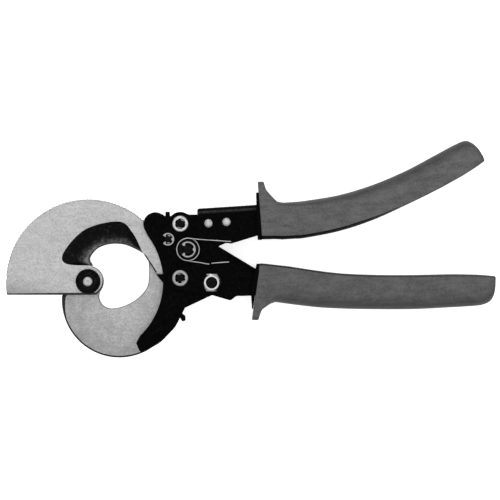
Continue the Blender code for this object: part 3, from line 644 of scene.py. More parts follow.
def ground_blade(name, face, back, body, edge, shoulder, insets, rise, slope):
    """A blade whose outline is body then edge, hollow ground from shoulder down to edge.

    face and back are the heights of its two sides. insets is the width of the chamfer at
    each body point and rise its height. The honed band is the last row of the ground face.
    """
    rows = 7
    honed_reach = 1.2
    edge_wall = 0.35            # height of the flat left at the cutting edge
    back_width, back_rise = 0.35, 0.3       # chamfer along the back of the edge
    hollow = 0.8                # share of the depth reached beside the honed band
    wide = 0.4                  # a chamfer wider than this takes the darker of the two painted shades
    towards_back = math.copysign(1.0, back - face)
    deepest = abs(face - back) - edge_wall - back_rise
    bm = bmesh.new()
    ground = bm.verts.layers.float.new("ground")

    face_inner = grown(body + shoulder, [-w for w in insets] + [0.0] * len(shoulder))
    back_inner = grown(body + edge, [-w for w in insets] + [-back_width] * len(edge))
    count = len(body)
    face_row = add_row(bm, face_inner[:count], face)
    face_wall = add_row(bm, body, face + towards_back * rise)
    back_wall = add_row(bm, body, back - towards_back * rise)
    back_row = add_row(bm, back_inner[:count], back)

    depths = [min(deepest, slope * (outer - inner).length)
              for outer, inner in zip(shoulder, edge)]
    ground_rows = []
    for k in range(rows + 1):
        share = k / rows
        sunk = hollow * (1 - (1 - share) ** 1.35)
        line, heights = [], []
        for outer, inner, depth in zip(shoulder, edge, depths):
            width = (outer - inner).length
            band = min(honed_reach / width, 0.5) if width > 0.01 else 0.5
            line.append(outer.lerp(inner, (1 - band) * share))
            heights.append(face + towards_back * depth * sunk)
        ground_rows.append(add_row(bm, line, heights))
        # Wear grows towards the edge and fades along it, away from the hub
        for i, vert in enumerate(ground_rows[-1]):
            vert[ground] = share ** 1.2 * (1.08 - 0.42 * i / len(edge))
    edge_row = add_row(bm, edge, [face + towards_back * d for d in depths])
    back_edge = add_row(bm, edge, back - towards_back * back_rise)
    back_land = add_row(bm, back_inner[count:], back)
    for vert in edge_row:
        vert[ground] = 1.0

    chamfers = [strip(bm, face_row, face_wall), strip(bm, back_wall, back_row)]
    edge_chamfer = strip(bm, back_edge, back_land)
    strip(bm, face_wall, back_wall)
    ground_faces = []
    for first, second in zip(ground_rows, ground_rows[1:]):
        ground_faces += strip(bm, first, second)
    honed_faces = strip(bm, ground_rows[-1], edge_row)
    strip(bm, edge_row, back_edge)
    bm.faces.new(face_row + ground_rows[0])
    bm.faces.new(list(reversed(back_row + back_land)))
    for body_end, edge_end in ((-1, 0), (0, -1)):
        ground_column = [r[edge_end] for r in ground_rows] + [edge_row[edge_end]]
        wall = [face_row[body_end], face_wall[body_end], back_wall[body_end],
                back_row[body_end], back_land[edge_end], back_edge[edge_end],
                *reversed(ground_column)]
        bm.faces.new(wall)
    # The chamfers take the near-black looks as painted shade.
    for faces, index in ((ground_faces, GROUND), (honed_faces, HONED),
                         (edge_chamfer, BLADE_EDGE_SHADE)):
        for item in faces:
            item.material_index = index
    for side in chamfers:
        for item, width in zip(side, insets):
            item.material_index = CHAMFER_SHADE if width > wide else BLADE_EDGE_SHADE
    return from_bmesh(name, bm, 22, merge=0.004)


def drill(obj, places, low, high):
    for k, (centre, radius) in enumerate(places):
        boolean(obj, flat(f"{obj.name}_hole_{k}", (low - 1, high + 1), [circle(centre, radius)]))


def make_moving_blade():
    start = 4.0
    flat_edge = -6.9
    left = -math.sqrt(RIM ** 2 - flat_edge ** 2)
    left_angle = math.degrees(math.atan2(flat_edge, left)) + 360
    rim = teeth(RIM, start, TOOTH_COUNT)
    rim.append(polar(RIM - TOOTH_DEPTH, start + TOOTH_COUNT * TOOTH_PITCH))
    smooth_rim = arc(NOSE, RIM, 180, left_angle - 1.5, 2)
    corner = rounded([(*smooth_rim[-1],), (left, flat_edge, 0.6), (-30.0, flat_edge)])[1:-1]
    hub = arc(NOSE, HUB, -60.8, 74, 3)
    hook = vectors((28.9, 13.3), (33.6, 6.1))
    tip = rounded([(29.0, 13.1), (34.9, 4.0, 1.2), (41.0, 3.8)])[1:-1]
    body = [*hook, *tip, *rim, *smooth_rim, *corner, *hub]
    edge = smooth_line([(2.4, 8.0), (0.8, 11.9), (4.6, 16.8), (11.0, 19.1), (18.0, 18.9),
                        (23.6, 16.8), (28.2, 14.3)], 12)
    shoulder = smooth_line([(2.4, 8.0), (-11.6, 9.2), (-12.2, 15.5), (-1.2, 26.8),
                            (15.6, 30.7), (22.6, 25.2), (28.2, 14.3)], 12)
    # The wide chamfers of the hook, the corner and the hub take the near-black painted shade;
    # the narrow ones take the dark edge shade.
    insets = [0.75] * (len(hook) + 2)
    insets += [0.22] * (len(body) - len(corner) - len(hub) - len(insets))
    insets += [0.8] * len(corner)
    insets += [max(0.3, 1.2 - 1.5 * k / len(hub)) for k in range(len(hub))]
    obj = ground_blade("blade_moving", BLADE_FRONT[1], BLADE_FRONT[0], body, edge, shoulder,
                       insets, 0.25, 1.3)
    drill(obj, [(NOSE, BORE)], *BLADE_FRONT)
    place(obj, "moving_blade", "moving_blade", "moving_blade", *BLADE_LOOKS)


def make_fixed_blade():
    outer = arc(FIXED_CENTRE, FIXED_RADIUS, 358, 176, 2)
    hub = arc(NOSE, HUB - GAP, 130, -43, 4)
    throat = smooth_line([(5.5, -5.4), (5.3, -8.8), (7.5, -12.5), (11.8, -14.0), (18.4, -12.6),
                          (25.2, -8.7), (30.0, -2.9), (31.0, 4.4), (30.6, 13.0)], 8)
    opening = Vector((17.8, 2.0))
    ground_width = 5.0
    shoulder = []
    for k, spot in enumerate(throat):
        reach = ground_width * math.sin(math.pi * k / (len(throat) - 1))
        shoulder.append(spot + (spot - opening).normalized() * reach)
    tang = rounded([(31.2, 13.0), (42.6, 13.0, 2.0), (43.0, -2.0, 2.0), (*outer[0],)])[:-1]
    body = [*tang, *outer, *hub]
    insets = [0.25] * len(tang)
    for k in range(len(outer)):
        share = k / len(outer)
        # The outer chamfer is narrow beside the frame and widens towards the nose; its wide part
        # takes the near-black look, painted shade that grows into a wedge of painted shadow
        # beside the moving blade
        insets.append(0.9 + 9.0 * max(0.0, share - 0.86) if share > 0.35 else 0.3)
    insets += [0.25] * len(hub)
    obj = ground_blade("blade_fixed", BLADE_REAR[0], BLADE_REAR[1], body, throat, shoulder,
                       insets, 0.5, 0.7)
    rivet_bore = 1.5
    holes = [(NOSE, BORE)] + [(p, rivet_bore) for p in ARM_RIVETS + TANG_RIVETS]
    drill(obj, holes, *BLADE_REAR)
    place(obj, "frame", "fixed_blade", "fixed_blade", *BLADE_LOOKS)


# Frame

def plate_outline():
    knob = Vector((34.5, 29.3))
    arm_outside = rounded([(27.0, -28.0), (24.6, -31.4, 1.5), (27.2, -37.0, 2.0),
                           (37.5, -30.9, 12.0), (44.3, -23.8, 12.0), (49.4, -13.6, 1.0),
                           (57.0, -9.8)])[1:-1]
    lobe = arc(HANDLE_PIVOT, 5.9, -62, 25, 6)
    handle_end = vectors((65.7, 14.0), (65.7, 17.0), (67.4, 18.4), (76.0, 22.0), (76.0, 34.2),
                         (52.2, 34.2))
    bump = arc(FRAME_PIN, 6.1, 55, 128, 6)
    saddle = vectors((42.6, 33.5), (39.4, 33.5))
    knob_edge = arc(knob, 6.1, 52, 205, 6)
    upper_edge = arc(NOSE, FRAME_INNER, 37, 5.4, 2)
    nose = vectors((35.0, 3.6))
    lower_edge = arc(NOSE, FRAME_INNER, -1, -46, 2)
    return (arm_outside + lobe + handle_end + bump + saddle + knob_edge + upper_edge + nose
            + lower_edge)


def pin_slot(radius):
    """The curved slot that the drive pawl's pin moves along when the handle is squeezed."""
    arm = DRIVE_PIN - HANDLE_PIVOT
    start = math.degrees(math.atan2(arm.y, arm.x))
    end = start + SQUEEZE
    outer = arc(HANDLE_PIVOT, arm.length + radius, start, end, 2)
    inner = arc(HANDLE_PIVOT, arm.length - radius, end, start, 2)
    start_cap = arc(polar(arm.length, start, HANDLE_PIVOT), radius, start - 180, start, 10)
    end_cap = arc(polar(arm.length, end, HANDLE_PIVOT), radius, end, end + 180, 10)
    return outer + end_cap[1:-1] + inner + start_cap[1:-1]


def make_plates():
    outline = plate_outline()
    shared = [circle(FRAME_PIN, PIN_BORE), pin_slot(2.6), circle(HOLD_PIN, HOLD_BORE),
              circle(SPRING_POST, BORE), circle(HANDLE_PIVOT, PIVOT_BORE)]
    shared += rivet_holes(UPPER_RIVETS, RIVET_BORE)
    shared += rivet_holes(ARM_RIVETS, FLUSH_BORE)
    plate("plate_front", PLATE_FRONT, [outline, *shared], "frame", "front_frame_plate")
    shared += rivet_holes(TANG_RIVETS, FLUSH_BORE)
    plate("plate_rear", PLATE_REAR, [outline, *shared], "frame", "rear_frame_plate")


# Pins, rings and clips

def pin(name, centre, low, high, radius, body, node, clips=(), head=None):
    """A pin with rounded ends and a centre mark, grooved where its clips are."""
    ease, slack, groove = 0.35, 0.05, radius - 0.5
    profile = [(0, high - ease), (0.45, high - 0.05), (0.6, high), (radius - ease, high),
               (radius - 0.1, high - 0.12), (radius, high - ease)]
    for clip_low in clips:
        bottom, top = clip_low - slack, clip_low + CLIP_THICKNESS + slack
        profile += [(radius, top), (groove, top), (groove, bottom), (radius, bottom)]
    if head:
        head_radius, head_top = head
        profile += [(radius, head_top), (head_radius - 0.3, head_top),
                    (head_radius, head_top - 0.3), (head_radius, low + 0.5),
                    (head_radius - 0.4, low)]
    else:
        profile += [(radius, low + ease), (radius - ease, low)]
    profile.append((0, low))
    place(turned(name, centre, profile), body, node, "oxide")


def star_ring(name, centre, low, body, node, look="bright", outward=1):
    """A push-on ring: a domed washer whose hole has six narrow teeth against the pin."""
    tip, root = PIN + 0.15, 2.7
    middle = low + RING_THICKNESS / 2
    columns = []
    for tooth in range(6):
        for offset in (-11, -8, -4, 0, 4, 8, 11, 17, 23, 30, 37, 43):
            columns.append((60 * tooth + offset, tip if abs(offset) <= 8 else root))
    bm = bmesh.new()

    def row(share, domed):
        """Points a share of the way from the hole to the rim, on the dome or under it."""
        line, heights = [], []
        for angle, hole in columns:
            radius = hole + (RING - hole) * share
            bulge = math.sin(math.pi * (radius - tip) / (RING - tip)) ** 0.5 if domed else -1
            line.append(polar(radius, angle, centre))
            heights.append(middle + outward * bulge * RING_THICKNESS / 2)
        return add_row(bm, line, heights)

    shares = (0.0, 0.06, 0.15, 0.3, 0.5, 0.7, 0.85, 0.94, 1.0)
    rows = [row(share, True) for share in shares]
    rows += [row(share, False) for share in reversed(shares)]
    loft(bm, rows + rows[:1], capped=False)
    place(from_bmesh(name, bm, 40), body, node, look)


def clip(name, centre, low, shaft, outer, node):
    """An E-shaped retaining clip that opens towards -X, with three inner prongs."""
    opening, width = 40, 15
    grip_radius = shaft - 0.2
    relief = outer - 0.62
    half_gap = 180 - opening
    rim = arc(centre, outer, 180 + opening, 540 - opening, 4)
    inner = []
    for start, end, radius in ((half_gap, half_gap - width, grip_radius),
                               (half_gap - width - 9, width + 5, relief),
                               (width - 5, 5 - width, grip_radius + 0.25),
                               (-width - 5, width + 9 - half_gap, relief),
                               (width - half_gap, -half_gap, grip_radius)):
        inner += arc(centre, radius, start, end, 5)
    obj = flat(name, (low, low + CLIP_THICKNESS), [rim + inner])
    soften(obj, 0.18, 3, angle=30)
    place(obj, "frame", node, "worn_ring")


def chamfered_hex(name, centre, low, high, across_flats, hole=None, land=0.96):
    """A hexagon whose corners are turned down to a cone; land is the share left flat."""
    radius = across_flats / math.sqrt(3)
    outlines = [circle(centre, radius, 6)]
    if hole:
        outlines.append(circle(centre, hole))
    obj = flat(name, (low, high), outlines)
    face = across_flats / 2 * land
    corner = radius + 0.3
    drop = (corner - face) * math.tan(math.radians(30))
    boolean(obj, turned(name + "_cone", centre,
                        [(0, high), (face, high), (corner, high - drop), (corner, low + drop),
                         (face, low), (0, low)]), "INTERSECT")
    soften(obj, 0.08, angle=25)
    return applied(obj)


def mark_slopes(obj):
    """Give the turned cone of a nut its second material, the one with painted highlights."""
    for polygon in obj.data.polygons:
        if 0.3 < polygon.normal.z < 0.97:
            polygon.material_index = 1


def threaded_end(name, centre, low, high, radius):
    """A bolt end with a few thread ridges and a shallow dimple."""
    pitch, depth, thread = 0.5, 0.18, 4.0
    profile = [(0, high - 0.4), (0.7, high - 0.12), (0.95, high), (radius - 0.55, high),
               (radius - 0.25, high - 0.25)]
    height = high - 0.45
    while height > high - thread:
        profile += [(radius, height), (radius - depth, height - pitch / 2)]
        height -= pitch
    profile += [(radius - 0.02, height), (radius - 0.02, low), (0, low)]
    return turned(name, centre, profile)


def make_nose():
    place(chamfered_hex("nose_bolt_head", NOSE, 0.0, 4.0, 10.0), "frame", "nose_pivot_bolt",
          "oxide")
    low = BLADE_FRONT[1] + GAP
    nut = [(2.62, low + 2.2), (2.9, low + 2.55), (3.4, low + 2.62), (4.3, low + 2.5),
           (5.2, low + 2.2), (5.9, low + 1.7), (6.3, low + 1.1), (6.4, low + 0.6),
           (6.4, low + 0.15), (6.25, low), (2.62, low)]
    place(turned("nose_nut", NOSE, nut, 64), "frame", "nose_pivot_nut", "nose_nut")
    stud = [(0, 19.75), (0.35, 19.8), (0.55, 20.02), (1.2, 20.1), (1.9, 20.0), (2.3, 19.75),
            (2.5, 19.3), (2.5, 3.0), (0, 3.0)]
    place(turned("nose_stud", NOSE, stud), "frame", None, "stud")


def make_frame_fasteners():
    front = PLATE_FRONT[1] + GAP
    rear = PLATE_REAR[0] - GAP - RING_THICKNESS
    pin("pin_frame", FRAME_PIN, rear - 0.9, front + 1.7, PIN, "frame", "frame_pin")
    star_ring("ring_frame_front", FRAME_PIN, front, "frame", "frame_pin_ring_front")
    star_ring("ring_frame_rear", FRAME_PIN, rear, "frame", "frame_pin_ring_rear", outward=-1)
    rear = PLATE_REAR[0] - GAP - CLIP_THICKNESS
    pin("pin_holding_pawl", HOLD_PIN, rear - 1.0, front + 1.7, HOLD_RADIUS, "frame",
        "holding_pawl_pin", clips=(front, rear))
    clip("clip_hold_front", HOLD_PIN, front, HOLD_RADIUS, 3.2, "holding_pawl_clip_front")
    clip("clip_hold_rear", HOLD_PIN, rear, HOLD_RADIUS, 3.2, "holding_pawl_clip_rear")
    clip_low = 22.9
    pin("pin_spring_post", SPRING_POST, 3.5, THICKNESS, POST, "frame", "spring_post",
        clips=(clip_low,), head=(4.0, 4.7))
    clip("clip_spring_post", SPRING_POST, clip_low, POST, 4.0, "spring_post_clip")


def make_rivets():
    """The two rivets through the upper channel, with a domed head at each end."""
    head_radius, head_height, shank = 2.15, 1.1, 1.6
    front = FLANGE_FRONT[1] + GAP
    rear = THICKNESS - front
    crown = front + head_height
    dome = [(head_radius * math.sin(a), head_height * (1 - math.cos(a)))
            for a in (math.pi / 2 * i / 10 for i in range(11))]
    profile = [(r, crown - d) for r, d in dome] + [(shank, front), (shank, rear)]
    profile += [(r, THICKNESS - crown + d) for r, d in reversed(dome)]
    for k, centre in enumerate(UPPER_RIVETS, 1):
        place(turned(f"rivet_{k}", centre, profile), "frame", f"handle_rivet_{k}", "rivet")


def make_handle_pivot():
    low = CHANNEL[1] + GAP
    nut = chamfered_hex("pivot_nut", HANDLE_PIVOT, low, low + 2.5, 8.8, 2.95, land=0.87)
    mark_slopes(nut)
    place(nut, "frame", "handle_pivot_nut", "bright", "nut_slope_highlight")
    place(chamfered_hex("pivot_head", HANDLE_PIVOT, 0.3, CHANNEL[0] - GAP, 9.0), "frame",
          "handle_pivot_bolt", "oxide")
    place(threaded_end("pivot_bolt", HANDLE_PIVOT, 2.0, 23.9, 2.9), "frame", None, "oxide")


def make_drive_fasteners():
    front = CHANNEL[1] + GAP
    rear = CHANNEL[0] - GAP - RING_THICKNESS
    pin("pin_drive_pawl", DRIVE_PIN, rear - 0.8, front + 1.6, PIN, "lower_handle",
        "drive_pawl_pin")
    star_ring("ring_drive_front", DRIVE_PIN, front, "lower_handle", "drive_pawl_ring_front",
              "worn_ring")
    star_ring("ring_drive_rear", DRIVE_PIN, rear, "lower_handle", "drive_pawl_ring_rear",
              outward=-1)


def make_spring():
    """The handle spring: its coil and upper leg ride on the frame, and its lower leg is a piece
    of its own.
    """
    wire, radius, turns, steps = 0.35, 5.7, 2.42, 180
    start, top, pitch = 87, 22.2, 1.01
    over = FLANGE_FRONT[1] + GAP + wire
    coil = []
    for k in range(steps + 1):
        spot = polar(radius, start + 360 * turns * k / steps, SPRING_POST)
        coil.append(Vector((*spot, top - pitch * turns * k / steps)))
    upper = smooth_line([(73.2, 20.4, over), (66.0, 20.9, over + 0.1),
                         (60.0, 21.3, over + 0.3), (55.5, 21.65, over + 0.6),
                         tuple(coil[0])], 6)[:-1]
    place(tube("spring_coil", upper + coil, wire), "frame", "handle_spring", "spring")
    lower = smooth_line([tuple(coil[-4]), tuple(coil[-1]), (51.4, 10.5, over - 0.7),
                         (54.4, 10.1, over), (58.0, 9.6, over), (61.6, 8.95, over),
                         (63.4, 9.3, over), (67.6, 9.7, over), (72.2, 10.0, over)], 6)[6:]
    leg = tube("spring_leg", lower, wire)
    paint(leg, "spring")
    applied(leg)
    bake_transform(leg)


# Handles and pawls

def leg_hook(name):
    """The hook on the lower handle's flange that holds down the spring's lower leg."""
    left, right, foot, lip_end = 62.2, 63.2, 7.7, 10.6
    top = FLANGE_FRONT[1] + 2.0
    post = flat(name, (FLANGE_FRONT[1] - 0.3, top),
                [rounded([(left, foot), (right, foot), (right, 8.4), (left, 8.4)])])
    bent = flat(name + "_lip", (top - 0.6, top),
                [rounded([(left, foot + 0.1), (right, foot + 0.1), (right, lip_end),
                          (left, lip_end)])])
    boolean(post, bent, "UNION")
    return applied(post)


def bend_cutter(name, start, end):
    """What folding takes off a square bar along a web: both of its outer corners."""
    radius, spare, steps = 3.8, 2.0, 8
    along = (end - start).normalized()
    outward = Vector((-along.y, along.x))
    profile = [(-radius, spare), (spare, spare), (spare, -radius)]
    for k in range(steps + 1):
        angle = math.pi / 2 * k / steps
        profile.append((radius * (math.cos(angle) - 1), radius * (math.sin(angle) - 1)))
    bm = bmesh.new()
    for flange, side in ((CHANNEL[1], 1), (CHANNEL[0], -1)):
        heights = [flange + side * up for _, up in profile]
        loft(bm, [add_row(bm, [spot + outward * across for across, _ in profile], heights)
                  for spot in (start, end)])
    return from_bmesh(name, bm)


def channel(name, outline, holes, inside, bend, bend_look, body, node, hook=None):
    """A folded channel: its outline cut hollow below the web, with round outer bends."""
    obj = flat(name, CHANNEL, [outline, *holes])
    boolean(obj, bend_cutter(name + "_bend", *bend))
    boolean(obj, flat(name + "_hollow", (FLANGE_REAR[1], FLANGE_FRONT[0]), [inside]))
    if hook:
        boolean(obj, hook, "UNION")
    soften(obj, 0.22, angle=50, worn=True)
    paint(obj, "paint", "paint_edge", bend_look)
    applied(obj)
    # The large sloping faces are the bend, which takes the third look: the painted highlight on
    # the upper channel and plain paint on the lower one.
    for polygon in obj.data.polygons:
        if 0.75 < abs(polygon.normal.z) < 0.985 and polygon.area > 2.0 * MM ** 2:
            polygon.material_index = 2
    attach(obj, body, node)


def upper_channel_outline():
    return rounded([(56.0, 37.3, 1.0), (56.0, 21.3, 1.0), (73.2, 19.4, 1.0), (87.0, 23.6),
                    (94.0, 27.0), (122.0, 28.5, 2.0), (122.0, 37.5, 2.0), (92.0, 37.0),
                    (86.0, 39.2)])


def lower_channel_outline():
    boss = arc(DRIVE_PIN, 6.5, 78, 250, 6)
    handle = rounded([(*boss[-1],), (62.5, -6.6), (73.0, -9.7, 1.5), (75.9, -7.4, 2.0),
                      (90.0, -7.1), (122.0, -8.5, 2.0), (122.0, 1.5, 2.0), (90.0, 4.0),
                      (66.8, 17.9, 0.4), (61.5, 14.0), (52.0, 7.8)])[1:]
    return boss + handle


def make_channels():
    holes = rivet_holes(UPPER_RIVETS, RIVET_BORE)
    inside = vectors((50.0, 35.4), (86.0, 37.6), (92.0, 35.4), (130.0, 35.9), (130.0, 10.0),
                     (50.0, 10.0))
    bend = vectors((52.2, 37.06), (86.0, 39.2))
    channel("channel_upper", upper_channel_outline(), holes, inside, bend, "paint_bend_highlight",
            "frame", "upper_handle_channel")
    holes = [circle(DRIVE_PIN, PIN_BORE), circle(HANDLE_PIVOT, PIVOT_BORE)]
    holes += rivet_holes([LOWER_RIVET], FLUSH_BORE)
    inside = vectors((35.0, 30.0), (71.0, 30.0), (71.0, 13.4), (90.0, 2.3), (130.0, -0.2),
                     (130.0, -30.0), (35.0, -30.0))
    bend = vectors((72.15, 14.4), (90.0, 4.0))
    channel("channel_lower", lower_channel_outline(), holes, inside, bend, "paint",
            "lower_handle", "lower_handle_channel", leg_hook("lower_handle_hook"))


def pawl_teeth(start, count):
    """A pawl's teeth, a gap away from the rim and each one at a smaller angle."""
    line = [polar(RIM + GAP, start)]
    for k in range(count):
        angle = start - k * TOOTH_PITCH
        line.append(polar(RIM + GAP + TOOTH_DEPTH, angle - TOOTH_PITCH * 0.25))
        line.append(polar(RIM + GAP, angle - TOOTH_PITCH))
    return line


def make_pawls():
    heel = arc(DRIVE_PIN, 4.1, 0, 190, 6)
    tail = rounded([(43.4, -10.9), (44.9, -12.4), (46.2, -17.2), (48.3, -20.6, 0.6),
                    (49.9, -20.0, 0.5), (49.7, -17.7, 0.5), (48.2, -16.6, 0.5),
                    (49.9, -8.0, 1.0), (50.6, -3.0)])
    outline = heel + pawl_teeth(-5.6, 3) + tail
    plate("pawl_drive", BLADE_FRONT, [outline, circle(DRIVE_PIN, PIN_BORE)], "drive_pawl",
          "drive_pawl", edge_width=0.15)

    left_side = arc(HOLD_PIN, 3.3, 130, 205, 6)
    toe = rounded([(42.3, 10.9), (44.6, 10.9, 0.8), (44.4, 19.8)])
    tab = vectors((42.0, 25.2), (41.7, 35.7), (39.6, 35.7), (39.3, 25.0))
    outline = left_side + pawl_teeth(19.4, 2) + toe + tab
    plate("pawl_holding", BLADE_FRONT, [outline, circle(HOLD_PIN, HOLD_BORE)], "holding_pawl",
          "holding_pawl", edge_width=0.15)


# Grips and collars

def grip_section(inner, outer, half, lip, rounding):
    """One cross-section of a grip: a steep facet along its inner edge, a round outer edge."""
    steps = 12
    width = (outer - inner).length
    rounding = min(rounding, width * 0.5)
    lip = min(lip, width * 0.15)
    across = (outer - inner) / width
    front = [(0.0, half * 0.7), (lip * 0.8, half - 0.35), (lip, half - 0.08),
             (lip + 0.3, half)]
    for k in range(steps):
        angle = math.pi / 2 * (1 - k / steps)
        reach = rounding * math.cos(angle)
        front.append((width - rounding + reach, half * math.sin(angle) ** 0.95))
    outline = front + [(width, 0.0)] + [(u, -v) for u, v in reversed(front)]
    return [Vector((*(inner + across * u), MIDDLE + v)) * MM for u, v in outline]


def share_of(value, start, end):
    """How far a value is from start to end, from 0 to 1."""
    return min(1.0, max(0.0, (value - start) / (end - start)))


def cut_pocket(obj, channel_outline):
    """Make room for a handle channel in a grip or a collar."""
    boolean(obj, flat(obj.name + "_pocket", (CHANNEL[0] - GAP, CHANNEL[1] + GAP),
                      [grown(channel_outline, GAP)]))


def grip(name, guard, inner, outer, tip, lip, flare, pocket, body, node, look):
    """A moulded grip, lofted from its finger guard to its far end and hollow at the front.

    guard and tip hold (inner, outer, half thickness) sections, and inner and outer are the
    two edge lines between them. lip gives the width of the facet at the far end and what it
    gains towards the guard, and flare is where the outer edge has grown fully round.
    """
    guard_back = 92.0
    facet_narrow, facet_wide = 165.0, 140.0
    end = [(*a, *b, half) for a, b, half in tip]
    along = [(*a, *b, GRIP / 2) for a, b in zip(smooth_line(inner, 6), smooth_line(outer, 6))]
    stations = smooth_line([(*a, *b, half) for a, b, half in guard], 3)
    stations += along + smooth_line([along[-1]] + end, 4)[1:]
    bm = bmesh.new()
    rows = []
    for x, y, far_x, far_y, half in stations:
        facet = lip[0] + lip[1] * share_of(x, facet_narrow, facet_wide)
        rounding = 1.2 + 7.6 * share_of(x, guard_back, flare)
        section = grip_section(Vector((x, y)), Vector((far_x, far_y)), half, facet, rounding)
        rows.append([bm.verts.new(p) for p in section])
    # The facet along the inner edge is the first two faces of a band on either side; it takes a
    # near-black vinyl as painted shade.
    for faces in loft(bm, rows):
        for item in faces[:2] + faces[-3:-1]:
            item.material_index = 1
    obj = from_bmesh(name, bm, 34)
    cut_pocket(obj, pocket)
    applied(obj, 34)
    place(obj, body, node, look, "vinyl_painted_shade")


def collar(name, outline, pocket, body, node):
    """The black plate in front of a finger guard, with a window for the channel: a dark sheet
    that paints the shade of the guard's front face.
    """
    obj = flat(name, (0.6, THICKNESS - 0.6), [outline])
    cut_pocket(obj, pocket)
    soften(obj, 0.2)
    place(obj, body, node, "collar")


def make_grips():
    guard = [((89.1, 21.6), (86.9, 50.9), 11.7), ((89.3, 21.6), (87.2, 51.2), 12.0),
             ((90.6, 21.6), (89.6, 51.2), 12.0), ((91.0, 21.6), (90.1, 50.5), 12.0),
             ((91.8, 21.6), (91.1, 47.3), 11.9), ((93.0, 21.6), (92.8, 45.2), 11.75),
             ((94.8, 21.7), (95.0, 42.8), 11.5), ((96.6, 21.7), (97.0, 41.0), 11.25)]
    inner = [(99.5, 21.5), (105.0, 21.85), (111.7, 22.4), (128.7, 25.8), (145.7, 31.4),
             (162.7, 39.1), (178.2, 46.7), (190.8, 53.6)]
    outer = [(99.8, 40.5), (105.5, 40.85), (111.7, 41.5), (128.7, 44.4), (145.7, 49.5),
             (162.7, 56.7), (176.7, 64.1), (186.0, 69.2)]
    tip = [((196.2, 57.0), (192.8, 72.2), 11.1), ((199.4, 59.1), (196.6, 71.3), 10.9),
           ((201.6, 60.7), (199.3, 68.8), 10.2), ((202.7, 61.5), (200.9, 65.9), 9.0)]
    pocket = upper_channel_outline()
    grip("grip_upper", guard, inner, outer, tip, (0.6, 1.1), 152.0, pocket, "frame",
         "upper_grip", "upper_vinyl")
    plate_line = rounded([(86.0, 45.4, 0.4), (86.9, 21.3, 0.4), (89.0, 21.3), (87.2, 45.4)])
    collar("collar_upper", plate_line, pocket, "frame", "upper_grip_collar")

    guard = [((88.1, 9.2), (83.9, -19.6), 11.7), ((88.3, 9.2), (84.2, -19.9), 12.0),
             ((89.7, 9.1), (86.9, -19.9), 12.0), ((90.2, 9.1), (87.4, -19.2), 12.0),
             ((91.2, 9.0), (88.9, -14.9), 11.9), ((92.4, 8.85), (90.9, -13.3), 11.75),
             ((94.2, 8.65), (93.4, -11.6), 11.5), ((96.2, 8.4), (96.0, -10.7), 11.25)]
    inner = [(99.0, 8.1), (104.1, 7.5), (118.0, 5.4), (131.6, 3.9), (150.0, 3.2),
             (168.1, 3.2), (187.0, 3.6), (200.0, 3.4)]
    outer = [(99.2, -11.1), (104.1, -11.8), (118.0, -13.4), (131.6, -14.1), (150.0, -14.4),
             (168.1, -14.3), (184.0, -13.5), (197.0, -12.8)]
    tip = [((204.5, 3.1), (201.8, -12.2), 11.1), ((206.9, 2.9), (205.4, -10.8), 10.8),
           ((207.8, 2.8), (207.3, -8.6), 10.2), ((208.2, 2.7), (207.9, -6.2), 9.3)]
    pocket = lower_channel_outline()
    grip("grip_lower", guard, inner, outer, tip, (0.8, 0.0), 102.0, pocket, "lower_handle",
         "lower_grip", "lower_vinyl")
    plate_line = rounded([(86.3, 9.0, 0.4), (83.3, -5.1), (83.9, -13.9, 0.4), (84.5, -13.9),
                          (87.9, 9.0)])
    collar("collar_lower", plate_line, pocket, "lower_handle", "lower_grip_collar")


def paint_kept_nodes():
    """The CAD nodes that stay in view get their finish here."""
    kept = {
        "paint": ["arm_spacer", "upper_handle_core", "lower_handle_core",
                  "lower_handle_rivet", "arm_rivet_1", "arm_rivet_2"],
        "oxide": ["nose_rear_washer", "frame_pin_sleeve", "handle_pivot_sleeve",
                  "spring_bush", "tang_rivet_1", "tang_rivet_2"],
        "spring": ["drive_pawl_spring", "holding_pawl_spring"],
    }
    for look, names in kept.items():
        for name in names:
            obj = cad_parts[name]
            obj.data.materials.clear()
            paint(obj, look)


# Floor, light and camera

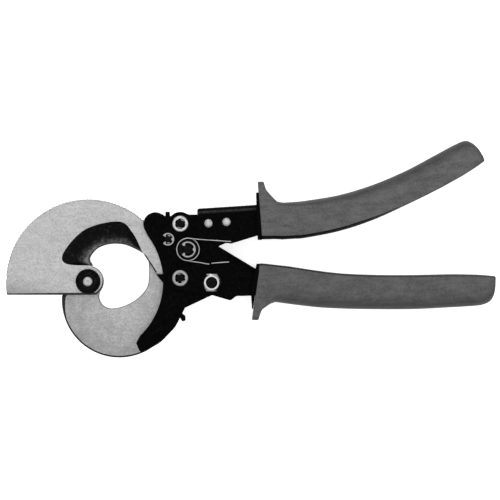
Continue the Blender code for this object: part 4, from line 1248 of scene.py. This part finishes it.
def make_floor(centre):
    bpy.ops.mesh.primitive_plane_add(size=3.0, location=centre)
    floor = bpy.context.object
    floor.name = "floor"
    n = Nodes("floor_white")
    n.set(Roughness=0.9, Emission_Color=(1, 1, 1, 1), Emission_Strength=0.7)
    n.colour(n.ramp(n.noise(40.0, 2.0), [(0.3, 0.93), (0.7, 0.96)]))
    floor.data.materials.append(n.material)


def make_sky():
    """Light that is brightest from straight above and dim near the horizon."""
    world = bpy.data.worlds.new("studio")
    bpy.context.scene.world = world
    world.use_nodes = True
    nodes, links = world.node_tree.nodes, world.node_tree.links
    direction = nodes.new("ShaderNodeTexCoord").outputs["Generated"]
    split = nodes.new("ShaderNodeSeparateXYZ")
    overhead = nodes.new("ShaderNodeValToRGB")
    background = nodes["Background"]
    background.inputs["Strength"].default_value = 1.8
    colour = fill_ramp(overhead, [(0.0, 0.06), (0.3, 0.08), (0.5, 0.14), (0.7, 0.34),
                                  (0.87, 0.7), (1.0, 1.0)])
    links.new(direction, split.inputs["Vector"])
    links.new(split.outputs["Z"], overhead.inputs["Fac"])
    links.new(colour, background.inputs["Color"])


def make_lamp(name, aim, direction, power):
    distance = 1.2
    light = bpy.data.lights.new(name, "AREA")
    light.size = 0.6
    light.energy = power
    lamp = new_object(name, light)
    lamp.location = aim + Vector(direction).normalized() * distance
    lamp.rotation_mode = "QUATERNION"
    lamp.rotation_quaternion = (aim - lamp.location).to_track_quat("-Z", "Y")


def make_camera():
    """A camera that looks straight down, as in the photograph."""
    view_width = 0.25615        # metres, at the height of the moving blade's face
    view_height = 0.016
    data = bpy.data.cameras.new("camera")
    data.lens = 135.0
    data.sensor_width = 36.0
    camera = new_object("camera", data)
    camera.location = (0.0829, 0.0161, view_height + view_width * data.lens / data.sensor_width)
    bpy.context.scene.camera = camera
    bpy.context.scene.view_settings.view_transform = "Standard"


def make_stage():
    centre = Vector((0.08, 0.016, 0.0))
    make_floor(centre)
    make_sky()
    make_lamp("key", centre, (-0.2, 0.75, 0.8), 2.0)
    make_lamp("side", centre, (0.9, 0.1, 0.6), 1.4)
    make_camera()


make_moving_blade()
make_fixed_blade()
make_plates()
make_nose()
make_frame_fasteners()
make_rivets()
make_handle_pivot()
make_drive_fasteners()
make_spring()
make_channels()
make_pawls()
make_grips()
paint_kept_nodes()
make_stage()
